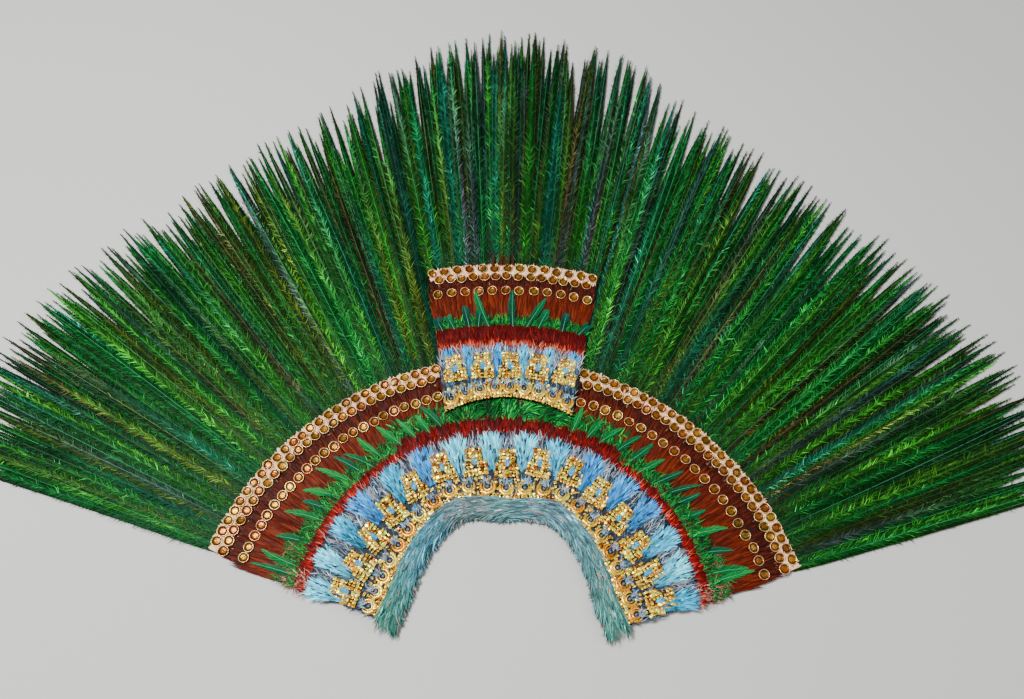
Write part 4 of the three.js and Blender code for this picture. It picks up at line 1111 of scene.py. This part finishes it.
TONGUE_BLUE_BAND = {"plaques": TONGUE_PLAQUE_COUNT, "feathers": 900, "blues": TONGUE_BLUES,
                    "half_width": 0.0076, "sink": 0.0014}  # its tufts lie lower, between the plaques
TUFT_BARBS = 235
TUFT_LENGTH = 0.07
TUFT_TIP = 0.015  # from the last roots to the tuft's end
TUFT_ROOT_SHARE = 0.4  # share of its full width that a tuft starts with
TUFT_WIDTHS = (0.85, 1.1)
TUFT_CROWDING = 0.8
TUFT_ROUNDING = 0.12
TUFT_LEAN = 0.06
TUFT_CROWN = 0.002
TUFT_HEAP = 0.0016
# Painted shade in the tufts: some barbs are dark slate to read as shadow among them, and each tuft darkens
# towards its root.
TUFT_SHADOW_BARBS = 0.1  # chance that a barb is a dark one
TUFT_SHADES = (0.55, 1.4)  # at the root and at the tip
TUFT_CONTRAST = 0.42
TUFT_FAN = {"root": 0.12, "tip": 0.32, "half_width": 0.0135}  # lean of the outer barbs, at this half width
TUFT_BARB = {"lengths": (0.012, 0.019), "half_width": 0.0017, "scatter": 0.1, "bend": 0.2,
             "rises": (0.001, -0.001), "arch": 0.0008, "roll": 0.3, "tip_shade": 1.15}
END_TUFT = 0.975  # place of the last tuft at each end
CRESCENT_TUFT = {"beyond": 0.002, "spread": 0.995}
TONGUE_TUFT = {"beyond": 0.006, "spread": 0.93}
BLUE_SEED = 47


def blue_tuft(rng, tip_radius, bearing, z, colour, half_width):
    """A broad tuft: narrow at its root, and fanned out and ragged at its tip."""
    count = TUFT_BARBS
    t = rng.random(count) ** TUFT_CROWDING
    across = rng.uniform(-1, 1, count)
    shape = half_width * mix(TUFT_ROOT_SHARE, 1, t) * rng.uniform(*TUFT_WIDTHS)
    radius = tip_radius - TUFT_LENGTH + (TUFT_LENGTH - TUFT_TIP) * t * (1 - TUFT_ROUNDING * across**2)
    lean = rng.normal(0, TUFT_LEAN)
    at = bearing + (across * shape + lean * t * TUFT_LENGTH) / radius
    root = polar(radius, at, z + TUFT_CROWN * (1 - across**2) + TUFT_HEAP * rng.random(count))
    # painted shade: dark barbs among the tuft, and darker towards its root
    dark = rng.random(count) < TUFT_SHADOW_BARBS
    tone = np.array(colour) * uneven(rng, TUFT_CONTRAST, (count, 1)) * mix(*TUFT_SHADES, t)[:, None]
    tone = np.where(dark[:, None], np.array(SLATE_COLOURS[1]), tone)
    fan = across * mix(TUFT_FAN["root"], TUFT_FAN["tip"], t) * half_width / TUFT_FAN["half_width"]
    ribbons = barbs(
        root, bearing + lean + fan + rng.normal(0, TUFT_BARB["scatter"], count),
        mix(*TUFT_BARB["lengths"], rng.random(count)), TUFT_BARB["half_width"], FEATHER_STEPS,
        bend=across * TUFT_BARB["bend"], rise=mix(*TUFT_BARB["rises"], rng.random(count)),
        arch=TUFT_BARB["arch"], roll=rng.normal(0, TUFT_BARB["roll"], count),
    )
    return ribbon_arrays(*ribbons, tone, TUFT_BARB["tip_shade"])


def blue_band(rng, name, node, place, tip_at, row):
    """One band: slate feathers, grey ones outside them, and a tuft in each gap between plaques."""
    low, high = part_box(node)
    z = high[2]
    parts = [
        bed(place, low[2], z, SLATE_COLOURS[1], LONG_BED_SEGMENTS),
        laid_feathers(rng, place, z, row["feathers"], **SLATE_LAYER),
        laid_feathers(rng, place, z, row["feathers"] // 2, **GREY_LAYER),
    ]
    gaps = np.linspace(-1, 1, row["plaques"] + 1)
    gaps[[0, -1]] *= END_TUFT
    for share in gaps:
        radius, bearing = tip_at(share)
        colour = row["blues"][rng.integers(len(row["blues"]))]
        parts.append(blue_tuft(rng, radius, bearing, z - row["sink"], colour, row["half_width"]))
    make_piece(name, parts, band_feathers, [node])


def crescent_tip(share):
    bearing = share * end_bearing(blue_edge(1)) * CRESCENT_TUFT["spread"]
    return blue_edge(share) + CRESCENT_TUFT["beyond"], bearing


def tongue_tip(share):
    return TONGUE_BLUE + TONGUE_TUFT["beyond"], TONGUE_TUFT["spread"] * share * tongue_side(TONGUE_BLUE)


rng = np.random.default_rng(BLUE_SEED)
place = arc_place(opening_edge, blue_edge)
blue_band(rng, "blue_feathers", "blue_band", place, crescent_tip, CRESCENT_BLUE)
place = tongue_place(tongue_foot, TONGUE_BLUE, TONGUE_ARCH)
blue_band(rng, "blue_feathers_tongue", "blue_band_tongue", place, tongue_tip, TONGUE_BLUE_BAND)

# Stepped plaques
# Mosaics of small gold bricks sewn to the blue feathers. Each is a stepped frame with a
# narrow head, round an oval of pale blue feather.
GOLD = (1.0, 0.57, 0.06)
PLAQUE_CHART = [
    ".#####.",
    ".#####.",
    ".#####.",
    ".##.##.",
    "###.###",
    "###.###",
    "#######",
    "#######",
]
PLAQUE_OFFSET = {"axis": 0.068, "end": 0.07}
TONGUE_PLAQUE_INSET = 0.035
BRICK = {"width": 0.0056, "height": 0.0059, "thickness": 0.0032}
BRICK_CORNERS = [(-1, -1), (0, -1.1), (1, -1), (1.1, 0), (1, 1), (0, 1.1), (-1, 1), (-1.1, 0)]
# The shade column is painted light: each brick is dark at its foot, as painted shade in the gaps between
# bricks, and lit on top as a painted highlight.
BRICK_LEVELS = [
    {"wide": 0.43, "up": 0, "shade": 0.2},
    {"wide": 0.47, "up": 0.66, "shade": 0.55},
    {"wide": 0.4, "up": 0.97, "shade": 1.15},
    {"wide": 0.2, "up": 0.99, "shade": 1.3},
]
BRICK_TONES = [
    {"chance": 0.4, "tone": (1, 1, 1)},
    {"chance": 0.14, "tone": (0.8, 0.6, 0.4)},
    {"chance": 0.38, "tone": (1.0, 1.18, 1.9)},
    {"chance": 0.08, "tone": (0.3, 0.17, 0.2)},
]
BRICK_CONTRAST = 0.38
BRICK_UNEVEN = {"turn": 0.35, "tilt": 0.3, "stretch": 0.24, "height": 0.0011, "place": 0.0003}
PATCHES = [  # rows of the chart, and half the columns that a patch is wide
    {"first": 0, "last": 4, "half": 2.4},
    {"first": 4, "last": 8, "half": 3.4},
]
# The patches under the bricks are the plaque's brown backing, darkened further as painted shade in the gaps
# between bricks.
BACKING_AND_SHADE_COLOUR = (0.035, 0.012, 0.003)
PATCH_HEIGHTS = (-0.001, 0.0006)
PATCH_SEGMENTS = 4
# The shade column paints shade and light: darker round the foot, lighter over the top.
OVAL_SECTION = [
    {"radius": 0.9, "z": 0, "shade": 0.6},
    {"radius": 1.0, "z": 0.001, "shade": 0.8},
    {"radius": 0.8, "z": 0.0022, "shade": 1.0},
    {"radius": 0.3, "z": 0.003, "shade": 1.1},
]
OVAL = {"radius": 0.0056, "long": 1.45, "sides": 14, "uneven": 0.05, "above_middle": 0.2}
OVAL_PATCH = {"inner": 0.006, "deep": 0.008, "wide": 0.02}
OVAL_LAYER = {"count": 26, "colours": PALE_BLUES, "length": 0.007, "half_width": 0.0008, "above": 0.0026,
              "spread": 0.4, "lift": 0.0006}
PLAQUE_SEED = 53


def brick_shape():
    corners = np.array(BRICK_CORNERS, float)
    rings = []
    for level in BRICK_LEVELS:
        ring = corners * [BRICK["width"] * level["wide"], BRICK["height"] * level["wide"]]
        rings.append(np.c_[ring, np.full(len(corners), BRICK["thickness"] * level["up"])])
    return loft(np.stack(rings), np.array(GOLD) * column(BRICK_LEVELS, "shade")[:, None, None])


def bricks(rng, radius, bearing, z, scale=1.0):
    """Small gold bricks, each turned, tilted and toned a little differently."""
    count = len(bearing)
    turned_by = bearing + rng.normal(0, BRICK_UNEVEN["turn"], count)
    frames = facing_frames(rng, turned_by, BRICK_UNEVEN["tilt"], BRICK_UNEVEN["stretch"]) * scale
    tones = column(BRICK_TONES, "tone")[rng.choice(len(BRICK_TONES), count, p=column(BRICK_TONES, "chance"))]
    tones = tones * uneven(rng, BRICK_CONTRAST, (count, 1))
    places = polar(radius, bearing, z + BRICK_UNEVEN["height"] * rng.random(count))
    return copies(brick_shape(), places, frames, tones)


def plaque_bricks(rng, radius, bearing, z):
    """The bricks of one plaque, laid out by the chart."""
    rows, columns = len(PLAQUE_CHART), len(PLAQUE_CHART[0])
    cells = [(i, j) for i, row in enumerate(PLAQUE_CHART) for j, mark in enumerate(row) if mark == "#"]
    i, j = np.array(cells, float).T
    up = radius + ((rows - 1) / 2 - i) * BRICK["height"] + rng.normal(0, BRICK_UNEVEN["place"], len(cells))
    along = (j - (columns - 1) / 2) * BRICK["width"] + rng.normal(0, BRICK_UNEVEN["place"], len(cells))
    return bricks(rng, np.hypot(up, along), bearing + np.arctan2(along, up), z)


def plaque(rng, name, radius, bearing):
    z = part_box(name)[0][2]
    make_piece("gold_" + name, [plaque_bricks(rng, radius, bearing, z)], beaten_gold, [name])
    oval = turned(OVAL_SECTION, OVAL["radius"], OVAL["sides"], PALE_BLUES[rng.integers(len(PALE_BLUES))])
    bearings = np.array([bearing])
    frames = facing_frames(rng, bearings, OVAL["uneven"], OVAL["uneven"]) * np.array([[[1, OVAL["long"], 1]]])
    middle = polar(radius + BRICK["height"] * OVAL["above_middle"], bearings, z)
    parts = [copies(oval, middle, frames, np.ones((1, 3)))]
    # dark patches under the bricks: backing colour with painted shade
    for row in PATCHES:
        inner = radius + (len(PLAQUE_CHART) / 2 - row["last"]) * BRICK["height"]
        outer = radius + (len(PLAQUE_CHART) / 2 - row["first"]) * BRICK["height"]
        half = row["half"] * BRICK["width"] / radius
        patch = lambda along, across: (mix(inner, outer, across), bearing + (2 * along - 1) * half)
        parts.append(bed(patch, z + PATCH_HEIGHTS[0], z + PATCH_HEIGHTS[1], BACKING_AND_SHADE_COLOUR, PATCH_SEGMENTS))
    over_oval = lambda along, across: (radius - OVAL_PATCH["inner"] + OVAL_PATCH["deep"] * across,
                                       bearing + (along - 0.5) * OVAL_PATCH["wide"])
    parts.append(laid_feathers(rng, over_oval, z, **OVAL_LAYER))
    make_piece("oval_" + name, parts, band_feathers)


rng = np.random.default_rng(PLAQUE_SEED)
for i in range(PLAQUE_COUNT):
    share = (i + 0.5) / PLAQUE_COUNT * 2 - 1
    offset = width_at(PLAQUE_OFFSET, share)
    bearing = share * end_bearing(opening_edge(1) + offset)
    plaque(rng, f"plaque_{i + 1:02d}", opening_edge(share) + offset, bearing)
for i in range(TONGUE_PLAQUE_COUNT):
    share = (i + 0.5) / TONGUE_PLAQUE_COUNT * 2 - 1
    radius = TONGUE_BLUE - TONGUE_PLAQUE_INSET
    plaque(rng, f"tongue_plaque_{i + 1}", radius, share * tongue_side(radius))

# Half-moons and their bricks
# A row of gold half-moons, each with two ridges round a grey-blue feather centre, on two
# courses of small gold bricks. They follow the opening's edge, and the foot of the tongue.
MOON_COUNT = 23
TONGUE_MOON_COUNT = 9
MOON_ARCS = [
    {"radius": 0.0098, "thick": 0.0034, "lift": 0.0, "shade": 0.95},
    {"radius": 0.0056, "thick": 0.0017, "lift": 0.001, "shade": 0.8},
]
MOON_TURN = math.radians(148)
MOON_STEPS = 15
MOON_SIDES = 6
MOON_HORN = 0.18  # thickness of the tips, as a share of the foot's
MOON_SWELL = 0.8
MOON_SHIFT = 0.35  # share of its thickness that an arc lies inside its radius
MOON_HEIGHT = {"middle": 0.0018, "half": 0.0022}
# Painted light on each ridge: lighter over its top and darker underneath.
MOON_RIDGE_LIGHT_AND_SHADE = (0.75, 1.25)
MOON_SIZES = (1.0, 1.2)
MOON_UNEVEN = {"turn": 0.18, "tilt": 0.06, "stretch": 0.04, "tone": 0.15}
MOON_CHANCES = [0.5, 0.2, 0.3]  # of the bricks' first three tones
MOON_OFFSET = 0.0172
ROW_START = 0.0096  # from the opening's edge to the row
COURSES = {"offsets": (0.002, 0.0066), "span": 0.985, "scatter": 0.0015, "scale": 0.92}
COURSE_BRICKS = {"crescent": 110, "tongue": 40}
GAP_BRICKS = {"each": 4, "inner": MOON_OFFSET - 0.002, "outer": MOON_OFFSET + 0.014, "scatter": 0.1,
              "offset_scatter": 0.0008, "scale": 0.8}
LOOSE_BITS = {"span": 0.98, "offsets": (0.0265, 0.035), "scale": 0.75}
MOON_CENTRE = {"radius": 0.0024, "sides": 10, "lift": 0.001, "uneven": 0.1}
CENTRE_PATCH = {"inner": 0.003, "deep": 0.008, "wide": 0.05}
CENTRE_LAYER = {"count": 26, "colours": GREY_COLOURS + PALE_BLUES[:1], "length": 0.008, "half_width": 0.0007,
                "above": 0.0022, "spread": 0.45, "curl": 0.5, "contrast": 0.35, "tip_shade": 1.3}
MOON_SEED = 59


def half_moon(arc):
    """A curved horn, thick at the foot and thin at both tips, open outwards."""
    turn = np.linspace(-MOON_TURN, MOON_TURN, MOON_STEPS)
    swell = np.cos(turn / MOON_TURN * math.pi / 2) ** MOON_SWELL
    thick = (arc["thick"] * mix(MOON_HORN, 1, swell))[:, None]
    around = np.linspace(0, 2 * math.pi, MOON_SIDES, endpoint=False)[None, :]
    radial = arc["radius"] - thick * MOON_SHIFT + thick * np.cos(around)
    height = np.minimum(thick, MOON_HEIGHT["half"]) * np.sin(around)
    turn = turn[:, None]
    z = arc["lift"] + MOON_HEIGHT["middle"] + height
    points = np.stack([radial * np.sin(turn), -radial * np.cos(turn), z], axis=-1)
    # painted light and shade: the ridge's top lighter, its underside darker
    ridge = mix(*MOON_RIDGE_LIGHT_AND_SHADE, (np.sin(around) + 1) / 2)[..., None]
    return loft(points, np.array(GOLD) * arc["shade"] * ridge)


def row_bricks(rng, count, point_at, brick_count, z):
    """The two courses of bricks, the bricks between the half-moons, and loose bits outside them."""
    parts = []
    for offset in COURSES["offsets"]:
        share = np.linspace(-COURSES["span"], COURSES["span"], brick_count)
        share = share + rng.normal(0, COURSES["scatter"], brick_count)
        parts.append(bricks(rng, *point_at(share, offset), z, COURSES["scale"]))
    share = np.repeat(np.arange(1, count) / count * 2 - 1, GAP_BRICKS["each"])
    share = share + rng.normal(0, GAP_BRICKS["scatter"] / count, len(share))
    offset = np.tile(np.linspace(GAP_BRICKS["inner"], GAP_BRICKS["outer"], GAP_BRICKS["each"]), count - 1)
    offset = offset + rng.normal(0, GAP_BRICKS["offset_scatter"], len(share))
    parts.append(bricks(rng, *point_at(share, offset), z, GAP_BRICKS["scale"]))
    share = rng.uniform(-LOOSE_BITS["span"], LOOSE_BITS["span"], brick_count)
    offset = rng.uniform(*LOOSE_BITS["offsets"], brick_count)
    parts.append(bricks(rng, *point_at(share, offset), z, LOOSE_BITS["scale"]))
    return parts


def moon_row(rng, name, node, count, point_at, brick_count):
    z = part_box(node)[0][2]
    parts = row_bricks(rng, count, point_at, brick_count, z)
    radius, bearing = point_at((np.arange(count) + 0.5) / count * 2 - 1, MOON_OFFSET)
    turned_by = bearing + rng.normal(0, MOON_UNEVEN["turn"], count)
    size = rng.uniform(*MOON_SIZES, (count, 1, 1))
    tones = column(BRICK_TONES, "tone")[rng.choice(len(MOON_CHANCES), count, p=MOON_CHANCES)]
    tones = tones * uneven(rng, MOON_UNEVEN["tone"], (count, 1))
    for arc in MOON_ARCS:
        frames = facing_frames(rng, turned_by, MOON_UNEVEN["tilt"], MOON_UNEVEN["stretch"]) * size
        parts.append(copies(half_moon(arc), polar(radius, bearing, z), frames, tones))
    make_piece("gold_" + name, parts, beaten_gold, [node])
    centre = turned(OVAL_SECTION, MOON_CENTRE["radius"], MOON_CENTRE["sides"], SLATE_COLOURS[2])
    frames = facing_frames(rng, bearing, MOON_CENTRE["uneven"], MOON_CENTRE["uneven"])
    parts = [copies(centre, polar(radius, bearing, z + MOON_CENTRE["lift"]), frames, np.ones((count, 3)))]
    for at, turn in zip(radius, bearing):
        within = lambda along, across: (at + CENTRE_PATCH["inner"] + CENTRE_PATCH["deep"] * across,
                                        turn + (along - 0.5) * CENTRE_PATCH["wide"])
        parts.append(laid_feathers(rng, within, z, **CENTRE_LAYER))
    make_piece("centres_" + name, parts, band_feathers)


def crescent_row_place(share, offset):
    reach = ROW_START + offset
    return opening_edge(share) + reach, share * end_bearing(opening_edge(1) + reach)


def tongue_row_place(share, offset):
    radius = tongue_foot + TONGUE_ARCH * (1 - share**2) + offset
    return radius, share * tongue_side(radius)


rng = np.random.default_rng(MOON_SEED)
moon_row(rng, "half_moons", "crescent_row", MOON_COUNT, crescent_row_place, COURSE_BRICKS["crescent"])
moon_row(rng, "half_moons_tongue", "crescent_row_tongue", TONGUE_MOON_COUNT, tongue_row_place,
         COURSE_BRICKS["tongue"])

# Strip round the opening
# Soft sea-green and grey-blue feathers wrapped over a roll of cloth along the edge of the head
# opening. They lie along the roll, from its top down both legs, and fray at its inner side.
TRIM_SECTION = [
    {"inset": 0.0003, "z": 0},
    {"inset": 0.0003, "z": 0.0125},
    {"inset": -0.009, "z": 0.0125},
    {"inset": -0.009, "z": 0.0154},
    {"inset": -0.0045, "z": 0.017},
    {"inset": 0.0115, "z": 0.017},
    {"inset": 0.0195, "z": 0.0135},
    {"inset": 0.023, "z": 0.00875},
    {"inset": 0.0195, "z": 0.0021},
    {"inset": 0.0138, "z": 0.0002},
]
TRIM_SKIN = TRIM_SECTION[3:9]  # the part of the section that the feathers cover
TRIM_PIECES = [
    {"name": "left_leg", "from": -1, "to": -7 / 12},
    {"name": "left_bend", "from": -7 / 12, "to": -1 / 4},
    {"name": "top", "from": -1 / 4, "to": 1 / 4},
    {"name": "right_bend", "from": 1 / 4, "to": 7 / 12},
    {"name": "right_leg", "from": 7 / 12, "to": 1},
]
TRIM_COLOURS = [
    {"share": -1, "colour": (0.06, 0.3, 0.22)},
    {"share": -0.75, "colour": (0.12, 0.4, 0.36)},
    {"share": -0.5, "colour": (0.1, 0.36, 0.5)},
    {"share": -0.3, "colour": (0.12, 0.33, 0.38)},
    {"share": -0.15, "colour": (0.3, 0.34, 0.33)},
    {"share": 0.0, "colour": (0.14, 0.42, 0.42)},
    {"share": 0.2, "colour": (0.2, 0.38, 0.46)},
    {"share": 0.4, "colour": (0.14, 0.38, 0.42)},
    {"share": 0.7, "colour": (0.15, 0.4, 0.38)},
    {"share": 1, "colour": (0.08, 0.32, 0.25)},
]
TRIM_LAYERS = [
    {"name": "along", "count": 760, "inner": 0, "scatter": 0.096, "splay": 0, "blush": 0.05,
     "length": 0.022, "rise": -0.0006},
    {"name": "fringe", "count": 240, "inner": 0.72, "scatter": 0.33, "splay": 0.45, "blush": 0.14,
     "length": 0.01, "rise": -0.003},
]
TRIM_STEPS = 15
TRIM_ROLL_SHADE = 0.35
TRIM_PARTING = {"share": 0.04, "scatter": 0.03}  # where the feathers of both legs start
TRIM_AHEAD = 0.01  # share along the roll that gives a feather's heading
TRIM_LIFT = 0.0008
TRIM_BLUSH = (0.34, 0.22, 0.2)
TRIM_TONES = {"shift": 0.08, "mean": -0.85, "contrast": 0.55, "tip_shade": 1.15}
TRIM_FEATHER = {"half_width": 0.0012, "bend": 0.15, "bend_scatter": 0.3, "arch": 0.0012, "roll": 0.4}
TRIM_SEED = 61


def trim_point(share, inset, z):
    radius = opening_edge(share) - inset
    return polar(radius, share * end_bearing(opening_edge(1) - inset), z)


def trim_colour(share):
    places, colours = column(TRIM_COLOURS, "share"), column(TRIM_COLOURS, "colour")
    return np.stack([np.interp(share, places, channel) for channel in colours.T], axis=-1)


def trim_layer(rng, row, layer):
    """Feathers over one length of the roll, all lying down towards the nearer leg's end."""
    count = layer["count"]
    share = rng.uniform(row["from"], row["to"], count)
    place = rng.uniform(layer["inner"], 1, count)
    skin = np.linspace(0, 1, len(TRIM_SKIN))
    inset = np.interp(place, skin, column(TRIM_SKIN, "inset"))
    height = np.interp(place, skin, column(TRIM_SKIN, "z"))
    root = trim_point(share, inset, height + TRIM_LIFT)
    down = np.where(share + rng.normal(0, TRIM_PARTING["scatter"], count) < TRIM_PARTING["share"], -1, 1)
    step = trim_point(share + down * TRIM_AHEAD, inset, height) - root
    heading = np.arctan2(step[:, 0], step[:, 1]) + down * layer["splay"]
    heading = heading + rng.normal(0, layer["scatter"], count)
    tone = trim_colour(share + rng.normal(0, TRIM_TONES["shift"], count))
    tone = tone * uneven(rng, TRIM_TONES["contrast"], (count, 1), TRIM_TONES["mean"])
    blush = rng.random(count) < layer["blush"]
    tone = np.where(blush[:, None], np.array(TRIM_BLUSH), tone)
    ribbons = barbs(
        root, heading, layer["length"] * mix(*FEATHER_LENGTHS, rng.random(count)),
        TRIM_FEATHER["half_width"], FEATHER_STEPS,
        bend=down * rng.normal(TRIM_FEATHER["bend"], TRIM_FEATHER["bend_scatter"], count),
        rise=layer["rise"], arch=TRIM_FEATHER["arch"], roll=rng.normal(0, TRIM_FEATHER["roll"], count),
    )
    return ribbon_arrays(*ribbons, tone, TRIM_TONES["tip_shade"])


rng = np.random.default_rng(TRIM_SEED)
for row in TRIM_PIECES:
    share = np.linspace(row["from"], row["to"], TRIM_STEPS)[:, None]
    roll = trim_point(share, column(TRIM_SECTION, "inset")[None, :], column(TRIM_SECTION, "z")[None, :])
    parts = [loft(roll, trim_colour(share) * TRIM_ROLL_SHADE)]
    parts += [trim_layer(rng, row, layer) for layer in TRIM_LAYERS]
    make_piece("feathers_trim_" + row["name"], parts, band_feathers, ["trim_" + row["name"]])

# Floor and light
# A plain pale floor under the headdress, a broad soft light from above on the left, a weaker
# one from the right, and a dim even sky.
FLOOR_SIZE = 12
FLOOR_DROP = 0.0005
FLOOR_COLOUR = (0.52, 0.51, 0.495, 1)
FLOOR_ROUGHNESS = 0.9
SKY_COLOUR = (0.9, 0.95, 1.0, 1)
SKY_STRENGTH = 0.24
LIGHTS = [
    {"name": "key", "place": (-1.3, -0.3, 3.0), "size": 0.9, "power": 205},
    {"name": "fill", "place": (2.2, -0.6, 2.0), "size": 1.8, "power": 28},
]

bpy.ops.mesh.primitive_plane_add(size=FLOOR_SIZE, location=(0, 0, -FLOOR_DROP))
floor = bpy.context.object
floor.name = "floor"
floor_paint = new_material("floor_paint", FLOOR_ROUGHNESS)
setting(floor_paint, "Base Color").default_value = FLOOR_COLOUR
floor.data.materials.append(floor_paint)
floor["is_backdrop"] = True

world = bpy.data.worlds.new("sky")
world.use_nodes = True
world.node_tree.nodes["Background"].inputs["Color"].default_value = SKY_COLOUR
world.node_tree.nodes["Background"].inputs["Strength"].default_value = SKY_STRENGTH
bpy.context.scene.world = world
for row in LIGHTS:
    light = bpy.data.lights.new(row["name"], "AREA")
    light.shape = "DISK"
    light.size = row["size"]
    light.energy = row["power"]
    lamp = bpy.data.objects.new(row["name"], light)
    lamp.location = row["place"]
    lamp.rotation_euler = (-Vector(row["place"])).to_track_quat("-Z", "Y").to_euler()
    bpy.context.scene.collection.objects.link(lamp)

# Camera
# It looks down at the headdress from the side of the head opening, turned a little about its
# own axis. Its place is given from the centre of the crescent's arcs.
CAMERA_SIDE = 0.0022
CAMERA_BACK = 0.2202
CAMERA_HEIGHT = 1.5406
CAMERA_TILT = math.radians(25)
CAMERA_ROLL = math.radians(1.796)
FOCAL_SHARE = 1000 / 1024  # focal length over the picture's width
SENSOR_WIDTH = 36

camera_data = bpy.data.cameras.new("camera")
camera_data.sensor_width = SENSOR_WIDTH
camera_data.lens = FOCAL_SHARE * SENSOR_WIDTH
camera = bpy.data.objects.new("camera", camera_data)
camera.matrix_world = (
    Matrix.Translation((CAMERA_SIDE, centre_y - CAMERA_BACK, CAMERA_HEIGHT))
    @ Matrix.Rotation(CAMERA_TILT, 4, "X")
    @ Matrix.Rotation(CAMERA_ROLL, 4, "Z")
)
bpy.context.scene.collection.objects.link(camera)
bpy.context.scene.camera = camera

low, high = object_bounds()
